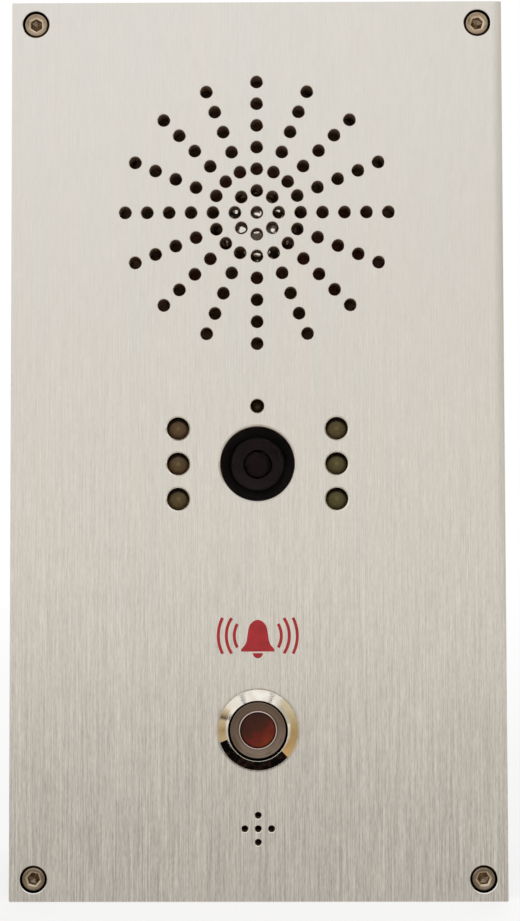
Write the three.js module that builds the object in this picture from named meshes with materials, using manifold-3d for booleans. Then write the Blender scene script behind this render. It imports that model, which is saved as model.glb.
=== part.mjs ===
// Door intercom panel: a brushed metal front plate with a speaker grille, a camera between two rows
// of lamps, a call button with a red lens and a microphone. The plate is screwed to a folded steel
// box that is fixed to the wall and holds the speaker, the camera, the boards and their leads.
//
// Millimetres. The panel faces -Y, with +X to the right and +Z up as a visitor sees it.
// The origin is the centre of the box's rear face, which lies on the wall at y = 0.
// A height z is counted from the middle of the front plate.
import * as THREE from 'three';
import { mergeVertices } from 'three/addons/utils/BufferGeometryUtils.js';
import Module from 'manifold-3d';

// ---------------------------------------------------------------- driving dimensions

const plate = { width: 112, height: 204, thickness: 4, chamfer: 0.5 };
const box = { depth: 44, wall: 1.5, setback: 1 };
const gasket = { thickness: 1.5, width: 5, cornerCut: 10 };
const post = { side: 8, length: 12 };
const panelScrew = {
  insetX: 5.5, insetZ: 5, threadRadius: 1.5, headRadius: 2.7, headHeight: 3,
  socketAcross: 2.5, socketDepth: 1.6, length: 9,
};
const counterbore = { gap: 0.35, sink: 0.2 };
const wallHole = { radius: 2.25, insetX: 17, insetZ: 22 };
const grommet = { z: -22, boreRadius: 6, sleeveRadius: 8.7, flangeRadius: 11.5, flange: 1.5 };

const grille = { fromTop: 48.5, holeRadius: 1.5, pitch: 5, innerCount: 8, outerCount: 16, rings: 6 };
const speaker = {
  mouthRadius: 31.5, ledgeWidth: 3, flangeWidth: 4, sheet: 1, ledgeDrop: 2,
  backRadius: 21.5, backDrop: 13, neckRadius: 18, floorDrop: 16, floorBore: 12.5,
  windowAngle: 55, windowFrom: 4.5, windowTo: 12, windows: 4,
};
const speakerSeal = { thickness: 2, width: 5.5 };
const coil = { innerRadius: 9.4, former: 0.5, winding: 0.5, windingHeight: 5, gap: 0.5 };
const cone = { rimWidth: 1.2, depth: 9, paper: 0.5 };
const surround = { rollRadius: 1.5, skin: 0.5, lipGap: 0.25 };
const dustCap = { radius: 12.5, height: 4.2, skin: 0.4 };
const spider = { edgeGap: 0.5, skin: 0.4, wave: 0.8, waves: 2 };
const motor = {
  topPlateRadius: 22, topPlate: 3, magnetRadius: 24.5, magnetBore: 14, magnet: 7, yoke: 3,
};
const clampRing = { thickness: 1.5, width: 3.6, earRadius: 4, studOffset: 4 };
const stud = { radius: 1.5, length: 8 };
const nut = { across: 5.5, thickness: 2.4 };
const speakerStrip = { length: 9, width: 6, thickness: 1.2, atRadius: 23.5, atAngle: 315 };

const camera = {
  z: -3.8, holeRadius: 8.5, windowRadius: 11, window: 2, turretSide: 21, turretLength: 15.5,
  boreRadius: 9, board: 1.6, barrelRadius: 6, headLip: 0.15, barrelLength: 12.2, headLength: 4,
  lensRadius: 3.3, throatRadius: 2.5, holderWall: 1.2, holderLength: 9,
};
const lamp = {
  x: 18, pitch: 8, radius: 2.5, height: 8.6, rimLip: 0.45, rim: 1, recess: 1,
};
const sensor = { above: 13.1, radius: 1.5, height: 5.3, rimLip: 0.1 };
const bracket = {
  width: 48, below: 16, above: 17.5, base: 3, legSide: 4, pinRadius: 1, pinLength: 2.2,
};
const lampBoard = { thickness: 1.6 };

const button = {
  fromBottom: 38.5, barrelRadius: 8, barrelLength: 22, barrelWall: 1.3, bezelLip: 1, bezelHeight: 1.8,
  bezelEdge: 0.7, rim: 0.7, webDepth: 9.5, web: 2, capGap: 0.25, capDrop: 0.6,
  capHeight: 4, capEdge: 0.25, stemRadius: 2.8, travel: 2, sealThickness: 0.5, nutLip: 1.5,
  nutThickness: 2.5, lensRadius: 4.15, lensDepth: 1.6, contactLip: 1.3, contact: 0.8,
};
const spring = { stemGap: 1.1, wireRadius: 0.35, turns: 4, stepsPerTurn: 10 };
const switchBlock = { flange: 3 };

const microphone = {
  fromBottom: 16.2, pitch: 3, holeRadius: 0.75, capsuleRadius: 4.85, capsuleHeight: 6.7,
  bootWall: 2.35, ledge: 0.55,
};
const board = { thickness: 1.6, sideGap: 9.5, bottomGap: 5.5, top: -24, standoff: 9, holeInset: 4 };
const standoff = { across: 5.5, pinLength: 4.6 };
const jack = {
  width: 16, depth: 13.5, length: 21, x: -28, bottomZ: -62, mouthWidth: 12, mouthDepth: 8.5,
  cavity: 16, floor: 2.5,
};
const terminals = { ways: 6, pitch: 5, width: 10, height: 10, x: 28, topZ: -52, entry: 3.4 };
const lead = { radius: 1.1, sides: 8 };
const ribbon = { width: 10, thickness: 0.3 };

const slip = 0.1; // radial clearance of a turned part in its hole
const ease = 0.3; // clearance where a part is fitted loosely or cut by its neighbour

const sides = { round: 24, small: 12, grille: 8, tiny: 6 };

// ---------------------------------------------------------------- levels and places derived from them

const rimY = -box.depth;
const plateBackY = rimY - gasket.thickness;
const plateFrontY = plateBackY - plate.thickness;
const boxWidth = plate.width - 2 * box.setback;
const boxHeight = plate.height - 2 * box.setback;
const innerX = boxWidth / 2 - box.wall;
const innerZ = boxHeight / 2 - box.wall;
const screwX = plate.width / 2 - panelScrew.insetX;
const screwZ = plate.height / 2 - panelScrew.insetZ;
const seatY = plateFrontY + panelScrew.headHeight + counterbore.sink;

const speakerZ = plate.height / 2 - grille.fromTop;
const speakerY = plateBackY + speakerSeal.thickness;
const ledgeRadius = speaker.mouthRadius + speaker.ledgeWidth;
const flangeRadius = ledgeRadius + speaker.flangeWidth;
const studX = flangeRadius + clampRing.studOffset;

const lampTipY = plateFrontY + lamp.recess;
const lampBoardY = lampTipY + lamp.height;
const windowBackY = plateBackY + camera.window;
const bracketBackY = plateBackY + bracket.base;
const cameraBoardY = bracketBackY + camera.turretLength;

const buttonZ = -plate.height / 2 + button.fromBottom;
const boreRadius = button.barrelRadius - button.barrelWall;
const capRadius = boreRadius - button.capGap;
const bezelRadius = button.barrelRadius + button.bezelLip;
const stemHoleRadius = button.stemRadius + 2 * slip + ease;
const bezelBackY = plateFrontY - button.sealThickness;
const bezelFrontY = bezelBackY - button.bezelHeight;
const barrelEndY = plateFrontY + button.barrelLength;
const capFrontY = bezelFrontY + button.capDrop;
const capBackY = capFrontY + button.capHeight;
const webFrontY = plateFrontY + button.webDepth;
const webBackY = webFrontY + button.web;
const contactY = webBackY + ease;
const switchFrontY = contactY + button.contact + button.travel + ease;
const switchBackY = barrelEndY + switchBlock.flange;

const microphoneZ = -plate.height / 2 + microphone.fromBottom;
const boardFrontY = plateBackY + board.standoff;
const boardBackY = boardFrontY + board.thickness;
const boardHalfWidth = innerX - board.sideGap;
const boardBottomZ = -innerZ + board.bottomGap;

// ---------------------------------------------------------------- solids

const wasm = await Module();
wasm.setup();

/** The closed solid inside a geometry, ready to be joined and cut. */
function solidOf(geometry) {
  const bare = geometry.clone();
  bare.deleteAttribute('normal');
  bare.deleteAttribute('uv');
  const merged = mergeVertices(bare, 1e-4);
  const index = merged.getIndex().array;
  const corners = [];
  for (let i = 0; i < index.length; i += 3) {
    const [a, b, c] = [index[i], index[i + 1], index[i + 2]];
    if (a !== b && b !== c && c !== a) corners.push(a, b, c);
  }
  return new wasm.Manifold(new wasm.Mesh({
    numProp: 3,
    vertProperties: Float32Array.from(merged.getAttribute('position').array),
    triVerts: Uint32Array.from(corners),
  }));
}

/** The geometry of a joined or cut solid. */
function geometryOf(solid) {
  const mesh = solid.getMesh();
  const geometry = new THREE.BufferGeometry();
  geometry.setAttribute('position', new THREE.BufferAttribute(mesh.vertProperties, 3));
  geometry.setIndex(new THREE.BufferAttribute(mesh.triVerts, 1));
  geometry.computeVertexNormals();
  return geometry;
}

function join(...geometries) {
  return geometryOf(geometries.map(solidOf).reduce((whole, piece) => whole.add(piece)));
}

function cut(geometry, ...tools) {
  return geometryOf(tools.map(solidOf).reduce((whole, tool) => whole.subtract(tool), solidOf(geometry)));
}

/** Corners of a round outline in X and Z, lined up with the corners of turned parts. */
function circle(radius, count = sides.round, x = 0, z = 0) {
  const corners = [];
  for (let i = 0; i < count; i += 1) {
    const angle = (2 * Math.PI * i) / count;
    corners.push(new THREE.Vector2(x + radius * Math.cos(angle), z + radius * Math.sin(angle)));
  }
  return corners;
}

/** Corners of a hexagon measured across its flats. */
function hexagon(across, x = 0, z = 0) {
  return circle(across / Math.sqrt(3), 6, x, z);
}

function rectangle(left, right, bottom, top) {
  return [[left, bottom], [right, bottom], [right, top], [left, top]].map(
    ([x, z]) => new THREE.Vector2(x, z),
  );
}

/** Corners of a rectangle about the middle, each corner cut off at 45 degrees. */
function cutCornerRectangle(halfX, halfZ, corner) {
  const quarter = [[halfX, halfZ - corner], [halfX - corner, halfZ]];
  const half = [...quarter, ...quarter.map(([x, z]) => [-x, z]).reverse()];
  return [...half, ...half.map(([x, z]) => [x, -z]).reverse()].map(
    ([x, z]) => new THREE.Vector2(x, z),
  );
}

/** An outline in X and Z with its holes. */
function outline(corners, holes = []) {
  const shape = new THREE.Shape(corners);
  shape.holes = holes.map((hole) => new THREE.Path(hole));
  return shape;
}

/** Outlines in X and Z made solid between two depths. */
function slab(outlines, frontY, backY) {
  const geometry = new THREE.ExtrudeGeometry(outlines, { depth: 1, bevelEnabled: false });
  const position = geometry.getAttribute('position');
  for (let i = 0; i < position.count; i += 1) {
    const y = position.getZ(i) > 0.5 ? frontY : backY;
    position.setXYZ(i, position.getX(i), y, position.getY(i));
  }
  return geometry;
}

/** A profile of [radius, y] points turned about the Y axis. It closes on itself or on the axis. */
function turned(profile, count = sides.round) {
  let area = 0;
  profile.forEach(([radius, y], i) => {
    const [nextRadius, nextY] = profile[(i + 1) % profile.length];
    area += radius * nextY - nextRadius * y;
  });
  const points = profile.map(([radius, y]) => new THREE.Vector2(radius, y));
  if (area < 0) points.reverse();
  const axisCorner = points.findIndex((point, i) => {
    const next = points[(i + 1) % points.length];
    return point.x === 0 && next.x === 0;
  });
  if (axisCorner < 0) {
    points.push(points[0].clone());
    return new THREE.LatheGeometry(points, count);
  }
  const start = (axisCorner + 1) % points.length;
  const opened = [...points.slice(start), ...points.slice(0, start)];
  return new THREE.LatheGeometry(opened, count);
}

/** A flat ring. */
function ring(innerRadius, outerRadius, frontY, backY, count = sides.round) {
  return turned([
    [innerRadius, frontY], [outerRadius, frontY], [outerRadius, backY], [innerRadius, backY],
  ], count);
}

/** A round lead along a smooth route. */
function tube(points, radius, steps) {
  const section = outline(circle(radius, lead.sides));
  const route = new THREE.CatmullRomCurve3(points.map(([x, y, z]) => new THREE.Vector3(x, y, z)));
  return new THREE.ExtrudeGeometry(section, { steps, extrudePath: route, bevelEnabled: false });
}

// ---------------------------------------------------------------- front plate

function grilleCentres() {
  const centres = [[0, speakerZ]];
  for (let row = 1; row <= grille.rings; row += 1) {
    const count = row === 1 ? grille.innerCount : grille.outerCount;
    for (let i = 0; i < count; i += 1) {
      const angle = (2 * Math.PI * i) / count;
      const radius = row * grille.pitch;
      centres.push([radius * Math.cos(angle), speakerZ + radius * Math.sin(angle)]);
    }
  }
  return centres;
}

function microphoneCentres() {
  const { pitch } = microphone;
  return [[0, 0], [pitch, 0], [-pitch, 0], [0, pitch], [0, -pitch]].map(
    ([x, z]) => [x, microphoneZ + z],
  );
}

function lampCentres() {
  const centres = [];
  for (const [sideName, side] of [['left', -1], ['right', 1]]) {
    for (const [rowName, row] of [['top', 1], ['middle', 0], ['bottom', -1]]) {
      centres.push({ name: `lamp_${sideName}_${rowName}`, x: side * lamp.x, z: camera.z + row * lamp.pitch });
    }
  }
  return centres;
}

function cornerPlaces() {
  return [
    { name: 'top_left', x: -1, z: 1 }, { name: 'top_right', x: 1, z: 1 },
    { name: 'bottom_left', x: -1, z: -1 }, { name: 'bottom_right', x: 1, z: -1 },
  ];
}

/** The plate blank: a rectangle whose front and rear edges are broken by a small chamfer. */
function plateBlank() {
  const { chamfer } = plate;
  const halfX = plate.width / 2;
  const halfZ = plate.height / 2;
  const blank = new THREE.ExtrudeGeometry(outline(rectangle(-halfX, halfX, -halfZ, halfZ)), {
    depth: plate.thickness - 2 * chamfer, bevelEnabled: true, bevelSegments: 1,
    bevelSize: chamfer, bevelThickness: chamfer, bevelOffset: -chamfer,
  });
  const position = blank.getAttribute('position');
  for (let i = 0; i < position.count; i += 1) {
    const fromBack = position.getZ(i) + chamfer;
    const y = fromBack < 1e-6 ? plateBackY : plateBackY - fromBack;
    position.setXYZ(i, position.getX(i), y, position.getY(i));
  }
  return blank;
}

function frontPlate() {
  const through = [
    ...grilleCentres().map(([x, z]) => circle(grille.holeRadius, sides.grille, x, z)),
    ...microphoneCentres().map(([x, z]) => circle(microphone.holeRadius, sides.tiny, x, z)),
    ...lampCentres().map(({ x, z }) => circle(lamp.radius + slip, sides.small, x, z)),
    circle(sensor.radius + slip, sides.small, 0, camera.z + sensor.above),
    circle(camera.holeRadius, sides.round, 0, camera.z),
    circle(button.barrelRadius + slip, sides.round, 0, buttonZ),
    ...cornerPlaces().map(({ x, z }) => circle(
      panelScrew.threadRadius + 2 * slip, sides.small, x * screwX, z * screwZ,
    )),
  ].map((corners) => outline(corners));
  const pocketRadius = panelScrew.headRadius + counterbore.gap;
  const headPockets = cornerPlaces().map(
    ({ x, z }) => outline(circle(pocketRadius, sides.small, x * screwX, z * screwZ)),
  );
  const studs = [-1, 1].map(
    (side) => outline(circle(stud.radius, sides.small, side * studX, speakerZ)),
  );
  const pierced = cut(
    plateBlank(),
    slab(through, plateFrontY - 1, plateBackY + 1),
    slab(headPockets, plateFrontY - 1, seatY),
  );
  const rootY = plateBackY - plate.thickness / 2;
  return join(pierced, slab(studs, rootY, plateBackY + stud.length));
}

/** A cap screw with a hexagon socket, its head sunk in the plate's counterbore. */
function panelScrewBody() {
  const headY = seatY - panelScrew.headHeight;
  const body = turned([
    [0, headY], [panelScrew.headRadius, headY], [panelScrew.headRadius, seatY],
    [panelScrew.threadRadius, seatY], [panelScrew.threadRadius, seatY + panelScrew.length],
    [0, seatY + panelScrew.length],
  ], sides.small);
  const socket = outline(hexagon(panelScrew.socketAcross));
  return cut(body, slab(socket, headY - 1, headY + panelScrew.socketDepth));
}

function frontGasket() {
  const halfX = boxWidth / 2;
  const halfZ = boxHeight / 2;
  const opening = cutCornerRectangle(halfX - gasket.width, halfZ - gasket.width, gasket.cornerCut);
  const screwHoles = cornerPlaces().map(({ x, z }) => circle(
    panelScrew.threadRadius + 2 * slip, sides.small, x * screwX, z * screwZ,
  ));
  const shape = outline(rectangle(-halfX, halfX, -halfZ, halfZ), [opening, ...screwHoles]);
  return slab(shape, plateBackY, rimY);
}

// ---------------------------------------------------------------- wall box

function backBox() {
  const halfX = boxWidth / 2;
  const halfZ = boxHeight / 2;
  const shell = slab(outline(rectangle(-halfX, halfX, -halfZ, halfZ)), rimY, 0);
  const room = slab(outline(rectangle(-innerX, innerX, -innerZ, innerZ)), rimY - 1, -box.wall);
  const holes = [
    outline(circle(grommet.sleeveRadius + ease, sides.round, 0, grommet.z)),
    ...cornerPlaces().map(({ x, z }) => outline(circle(
      wallHole.radius, sides.small, x * (halfX - wallHole.insetX), z * (halfZ - wallHole.insetZ),
    ))),
  ];
  return cut(shell, room, slab(holes, -box.wall - 1, 1));
}

/** A tapped block welded into a corner of the box, behind a panel screw. */
function cornerPost({ x, z }) {
  const corners = rectangle(
    Math.min(x * innerX, x * (innerX - post.side)), Math.max(x * innerX, x * (innerX - post.side)),
    Math.min(z * innerZ, z * (innerZ - post.side)), Math.max(z * innerZ, z * (innerZ - post.side)),
  );
  const thread = circle(panelScrew.threadRadius + slip, sides.small, x * screwX, z * screwZ);
  return slab(outline(corners, [thread]), rimY, rimY + post.length);
}

/** A rubber sleeve that lines the cable hole in the rear wall, flush with the wall side. */
function cableGrommet() {
  return turned([
    [grommet.boreRadius, 0], [grommet.sleeveRadius, 0], [grommet.sleeveRadius, -box.wall],
    [grommet.flangeRadius, -box.wall], [grommet.flangeRadius, -box.wall - grommet.flange],
    [grommet.boreRadius, -box.wall - grommet.flange],
  ]);
}

// ---------------------------------------------------------------- speaker
// Its pieces are turned about the speaker's own axis. Drops are counted from the flange's front face.

const coilOuter = coil.innerRadius + coil.former;
const windingOuter = coilOuter + coil.winding;
const coneRimRadius = speaker.mouthRadius - 2 * surround.rollRadius - slip;
const coneSlopeRadius = coneRimRadius - cone.rimWidth;
const coneRimY = speakerY + speaker.ledgeDrop;
const coneNeckY = coneRimY + cone.depth;
const basketFloorY = speakerY + speaker.floorDrop + speaker.sheet;
const magnetY = basketFloorY + motor.topPlate;
const yokeY = magnetY + motor.magnet;
const stripY = speakerY + speaker.backDrop + speaker.sheet;

/** Pressed steel frame: flange, step down to the ledge, sloping wall with windows, spider ledge, floor. */
function speakerBasket() {
  const { sheet } = speaker;
  const drop = (value) => speakerY + value;
  const slant = Math.atan2(speaker.mouthRadius - speaker.backRadius, speaker.backDrop - speaker.ledgeDrop);
  const skew = sheet * Math.tan(Math.PI / 4 - slant / 2);
  const body = turned([
    [flangeRadius, drop(0)], [ledgeRadius, drop(0)],
    [ledgeRadius, drop(speaker.ledgeDrop)], [speaker.mouthRadius, drop(speaker.ledgeDrop)],
    [speaker.backRadius, drop(speaker.backDrop)], [speaker.neckRadius, drop(speaker.backDrop)],
    [speaker.neckRadius, drop(speaker.floorDrop)], [speaker.floorBore, drop(speaker.floorDrop)],
    [speaker.floorBore, drop(speaker.floorDrop + sheet)],
    [speaker.neckRadius + sheet, drop(speaker.floorDrop + sheet)],
    [speaker.neckRadius + sheet, drop(speaker.backDrop + sheet)],
    [speaker.backRadius + skew, drop(speaker.backDrop + sheet)],
    [speaker.mouthRadius + skew, drop(speaker.ledgeDrop + sheet)],
    [ledgeRadius + sheet, drop(speaker.ledgeDrop + sheet)],
    [ledgeRadius + sheet, drop(sheet)], [flangeRadius, drop(sheet)],
  ]);
  const windows = [];
  for (let i = 0; i < speaker.windows; i += 1) {
    const middle = THREE.MathUtils.degToRad((i * 360) / speaker.windows);
    const half = THREE.MathUtils.degToRad(speaker.windowAngle / 2);
    const arc = (radius, angle) => new THREE.Vector2(radius * Math.cos(angle), radius * Math.sin(angle));
    const inner = speaker.neckRadius + sheet + ease;
    const outer = flangeRadius + 2 * sheet;
    windows.push(outline([
      arc(inner, middle - half), arc(outer, middle - half), arc(outer, middle),
      arc(outer, middle + half), arc(inner, middle + half),
    ]));
  }
  return cut(body, slab(windows, drop(speaker.windowFrom), drop(speaker.windowTo)));
}

/** Rubber half roll between the cone's rim and the basket's ledge. */
function speakerSurround() {
  const rollCentre = coneRimRadius + surround.skin / 2 + surround.rollRadius;
  const lipInner = coneSlopeRadius;
  const lipOuter = ledgeRadius - surround.lipGap;
  const frontY = coneRimY - surround.skin;
  const roll = (radius, angle) => [
    rollCentre + radius * Math.cos(angle), coneRimY - surround.skin / 2 - radius * Math.sin(angle),
  ];
  const outerRoll = [];
  const innerRoll = [];
  for (let i = 1; i <= 5; i += 1) {
    const angle = (Math.PI * i) / 6;
    outerRoll.push(roll(surround.rollRadius + surround.skin / 2, angle));
    innerRoll.push(roll(surround.rollRadius - surround.skin / 2, angle));
  }
  return turned([
    [lipOuter, coneRimY], [lipOuter, frontY], ...outerRoll, [lipInner, frontY],
    [lipInner, coneRimY], ...innerRoll.reverse(),
  ]);
}

function speakerCone() {
  return turned([
    [coneRimRadius, coneRimY], [coneSlopeRadius, coneRimY], [coilOuter + slip, coneNeckY],
    [coilOuter + slip, coneNeckY + cone.paper], [coneSlopeRadius, coneRimY + cone.paper],
    [coneRimRadius, coneRimY + cone.paper],
  ]);
}

/** Height of the cone's front face at a radius. */
function coneFaceY(radius) {
  const share = (coneSlopeRadius - radius) / (coneSlopeRadius - coilOuter - slip);
  return coneRimY + share * cone.depth;
}

/** A domed cap over the voice coil. */
function speakerDustCap() {
  const { radius, height, skin } = dustCap;
  const baseY = coneFaceY(radius) - ease;
  const dome = (domeRadius, domeHeight, apexY) => {
    const sphere = (domeRadius ** 2 + domeHeight ** 2) / (2 * domeHeight);
    const points = [];
    for (let i = 0; i <= 5; i += 1) {
      const r = (domeRadius * i) / 5;
      points.push([r, apexY + sphere - Math.sqrt(sphere ** 2 - r ** 2)]);
    }
    return points;
  };
  const front = dome(radius, height, baseY - height);
  const back = dome(radius - skin, height - skin, baseY - height + skin);
  return turned([...front, ...back.reverse()]);
}

function speakerVoiceCoil() {
  const windingY = basketFloorY + motor.topPlate / 2 - coil.windingHeight / 2;
  const endY = windingY + coil.windingHeight;
  return turned([
    [coil.innerRadius, coneNeckY - cone.paper], [coilOuter, coneNeckY - cone.paper],
    [coilOuter, windingY], [windingOuter, windingY], [windingOuter, endY], [coil.innerRadius, endY],
  ]);
}

/** Corrugated cloth disc that centres the voice coil on the basket's inner ledge. */
function speakerSpider() {
  const seatY = speakerY + speaker.backDrop;
  const inner = coilOuter + slip;
  const lip = speaker.neckRadius;
  const edge = speaker.backRadius - spider.edgeGap;
  const steps = 4 * spider.waves;
  const face = [];
  for (let i = 0; i <= steps; i += 1) {
    const radius = inner + 1 + ((lip - inner - 1) * i) / steps;
    face.push([radius, seatY - spider.skin - spider.wave * Math.abs(Math.sin((Math.PI * i) / 4))]);
  }
  const front = [[inner, seatY - spider.skin], ...face, [edge, seatY - spider.skin]];
  const back = front.map(([radius, y]) => [radius, y + spider.skin]).reverse();
  return turned([...front, ...back]);
}

function speakerTopPlate() {
  return ring(windingOuter + coil.gap, motor.topPlateRadius, basketFloorY, magnetY);
}

function speakerMagnet() {
  return ring(motor.magnetBore, motor.magnetRadius, magnetY, yokeY);
}

/** Steel back plate with the pole that stands inside the voice coil. */
function speakerYoke() {
  const poleRadius = coil.innerRadius - coil.gap;
  const poleY = basketFloorY - coil.gap;
  return turned([
    [0, poleY], [poleRadius, poleY], [poleRadius, yokeY], [motor.topPlateRadius, yokeY],
    [motor.topPlateRadius, yokeY + motor.yoke], [0, yokeY + motor.yoke],
  ]);
}

/** A ring with an ear at each side that the stud nuts press onto the speaker's flange. */
function speakerClampRing() {
  const frontY = speakerY + speaker.sheet;
  const backY = frontY + clampRing.thickness;
  const inner = ledgeRadius + speaker.sheet + ease;
  const band = ring(inner, inner + clampRing.width, frontY, backY);
  const ears = [-1, 1].map((side) => outline([
    ...circle(clampRing.earRadius, sides.small, side * studX, 0),
  ]));
  const holes = [-1, 1].map(
    (side) => outline(circle(stud.radius + 2 * slip, sides.small, side * studX, 0)),
  );
  const bridges = [-1, 1].map((side) => {
    const near = side * (inner + clampRing.width / 2);
    const far = side * studX;
    const half = clampRing.earRadius;
    return outline(rectangle(Math.min(near, far), Math.max(near, far), -half, half));
  });
  return cut(
    join(band, slab(bridges, frontY, backY), slab(ears, frontY, backY)),
    slab(holes, frontY - 1, backY + 1),
  );
}

function studNut() {
  const frontY = speakerY + speaker.sheet + clampRing.thickness;
  const hole = circle(stud.radius + 2 * slip, sides.small);
  return slab(outline(hexagon(nut.across), [hole]), frontY, frontY + nut.thickness);
}

/** Where the strip with the speaker's solder lugs is riveted to the basket, from the speaker's axis. */
const stripAngle = THREE.MathUtils.degToRad(speakerStrip.atAngle);
const stripX = speakerStrip.atRadius * Math.cos(stripAngle);
const stripZ = speakerStrip.atRadius * Math.sin(stripAngle);

/** Strip with the solder lugs, its width along the speaker's radius. */
function speakerTerminal() {
  const { length, width, thickness } = speakerStrip;
  const corners = rectangle(-width / 2, width / 2, -length / 2, length / 2).map(
    (corner) => corner.rotateAround(new THREE.Vector2(0, 0), stripAngle),
  );
  return slab(outline(corners), stripY, stripY + thickness);
}

// ---------------------------------------------------------------- camera, lamps and light sensor

/** Corner places shared by the bracket's legs and the lamp board, from the camera's axis. */
function legPlaces() {
  const x = bracket.width / 2 - bracket.legSide / 2;
  const zs = [bracket.above - bracket.legSide / 2, -bracket.below + bracket.legSide / 2];
  return zs.flatMap((z) => [[-x, z], [x, z]]);
}

function cameraPinPlaces() {
  const offset = camera.turretSide / 2 - 2 * bracket.pinRadius;
  return [[-offset, -offset], [offset, -offset], [offset, offset], [-offset, offset]];
}

/** Moulded bracket bonded behind the plate: it seats the window, the lamps and both small boards. */
function opticsBracket() {
  const half = bracket.width / 2;
  const turretHalf = camera.turretSide / 2;
  const base = slab(outline(rectangle(-half, half, -bracket.below, bracket.above)), plateBackY, bracketBackY);
  const turret = slab(
    outline(rectangle(-turretHalf, turretHalf, -turretHalf, turretHalf)),
    plateBackY + camera.window, cameraBoardY,
  );
  const leg = bracket.legSide / 2;
  const legs = slab(
    legPlaces().map(([x, z]) => outline(rectangle(x - leg, x + leg, z - leg, z + leg))),
    plateBackY + bracket.base / 2, lampBoardY,
  );
  const lampPins = slab(
    legPlaces().map(([x, z]) => outline(circle(bracket.pinRadius, sides.tiny, x, z))),
    lampBoardY - 1, lampBoardY + bracket.pinLength,
  );
  const cameraPins = slab(
    cameraPinPlaces().map(([x, z]) => outline(circle(bracket.pinRadius, sides.tiny, x, z))),
    cameraBoardY - 1, cameraBoardY + bracket.pinLength,
  );
  const pocket = slab(outline(circle(camera.windowRadius + ease)), plateBackY - 1, windowBackY);
  const bore = slab(outline(circle(camera.boreRadius)), plateBackY - 1, cameraBoardY + 1);
  const eyes = slab([
    ...lampCentres().map(({ x, z }) => outline(circle(lamp.radius + 2 * slip, sides.small, x, z - camera.z))),
    outline(circle(sensor.radius + 2 * slip, sides.small, 0, sensor.above)),
  ], plateBackY - 1, bracketBackY + 1);
  return cut(join(base, turret, legs, lampPins, cameraPins), pocket, bore, eyes);
}

function cameraWindow() {
  return turned([
    [0, plateBackY], [camera.windowRadius, plateBackY], [camera.windowRadius, windowBackY],
    [0, windowBackY],
  ]);
}

function cameraBoard() {
  const half = camera.turretSide / 2;
  const holes = cameraPinPlaces().map(([x, z]) => circle(bracket.pinRadius + slip, sides.tiny, x, z));
  return slab(
    outline(rectangle(-half, half, -half, half), holes), cameraBoardY, cameraBoardY + camera.board,
  );
}

/** Threaded sleeve on the camera board that the lens barrel screws into. */
function lensHolder() {
  const inner = camera.barrelRadius + slip;
  const outer = inner + camera.holderWall;
  return ring(inner, outer, cameraBoardY - camera.holderLength, cameraBoardY);
}

const barrelFrontY = windowBackY + ease;
const lensSeatY = barrelFrontY + camera.headLength - ease;

function lensBarrel() {
  const { barrelRadius, lensRadius, throatRadius } = camera;
  const headRadius = barrelRadius + camera.headLip;
  const endY = barrelFrontY + camera.barrelLength;
  const mouth = headRadius - 1;
  return turned([
    [headRadius, barrelFrontY], [mouth, barrelFrontY], [lensRadius + slip, barrelFrontY + 1.2],
    [lensRadius + slip, lensSeatY], [throatRadius, lensSeatY], [throatRadius, endY],
    [barrelRadius, endY], [barrelRadius, barrelFrontY + camera.headLength],
    [headRadius, barrelFrontY + camera.headLength],
  ]);
}

/** The front element: a glass disc with a domed face. */
function frontLens() {
  const { lensRadius } = camera;
  const shoulderY = barrelFrontY + 1.6;
  const bulge = 1;
  const dome = [0, 0.35, 0.65, 0.88].map((share) => [
    lensRadius * share, shoulderY - bulge * Math.sqrt(1 - share ** 2),
  ]);
  return turned([...dome, [lensRadius, shoulderY], [lensRadius, lensSeatY], [0, lensSeatY]]);
}

function lampBoardBody() {
  const half = bracket.width / 2;
  const turretHole = camera.turretSide / 2 + ease;
  const holes = [
    rectangle(-turretHole, turretHole, -turretHole, turretHole),
    ...legPlaces().map(([x, z]) => circle(bracket.pinRadius + slip, sides.tiny, x, z)),
  ];
  return slab(
    outline(rectangle(-half, half, -bracket.below, bracket.above), holes),
    lampBoardY, lampBoardY + lampBoard.thickness,
  );
}

/** A round-headed lamp or sensor standing on the lamp board. */
function domedLamp({ radius, height, rimLip }) {
  const tipY = lampBoardY - height;
  const dome = [0, 30, 60, 90].map((degrees) => {
    const angle = THREE.MathUtils.degToRad(degrees);
    return [radius * Math.sin(angle), tipY + radius * (1 - Math.cos(angle))];
  });
  return turned([
    ...dome, [radius, lampBoardY - lamp.rim], [radius + rimLip, lampBoardY - lamp.rim],
    [radius + rimLip, lampBoardY],
    [0, lampBoardY],
  ], sides.small);
}

// ---------------------------------------------------------------- call button

function buttonBody() {
  const { barrelRadius } = button;
  return turned([
    [boreRadius, bezelFrontY], [boreRadius + button.rim, bezelFrontY],
    [bezelRadius, bezelBackY - button.bezelEdge], [bezelRadius, bezelBackY],
    [barrelRadius, bezelBackY], [barrelRadius, barrelEndY], [boreRadius, barrelEndY],
    [boreRadius, webBackY], [stemHoleRadius, webBackY], [stemHoleRadius, webFrontY],
    [boreRadius, webFrontY],
  ]);
}

const lensPocketY = capFrontY + button.lensDepth;

function buttonCap() {
  const { capEdge, stemRadius, lensRadius } = button;
  return turned([
    [0, lensPocketY], [lensRadius + slip, lensPocketY], [lensRadius + slip, capFrontY],
    [capRadius - capEdge, capFrontY], [capRadius, capFrontY + capEdge], [capRadius, capBackY],
    [stemRadius, capBackY], [stemRadius, contactY], [0, contactY],
  ]);
}

function buttonLens() {
  const { lensRadius, capEdge } = button;
  return turned([
    [0, capFrontY], [lensRadius - capEdge, capFrontY], [lensRadius, capFrontY + capEdge],
    [lensRadius, lensPocketY], [0, lensPocketY],
  ]);
}

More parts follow.
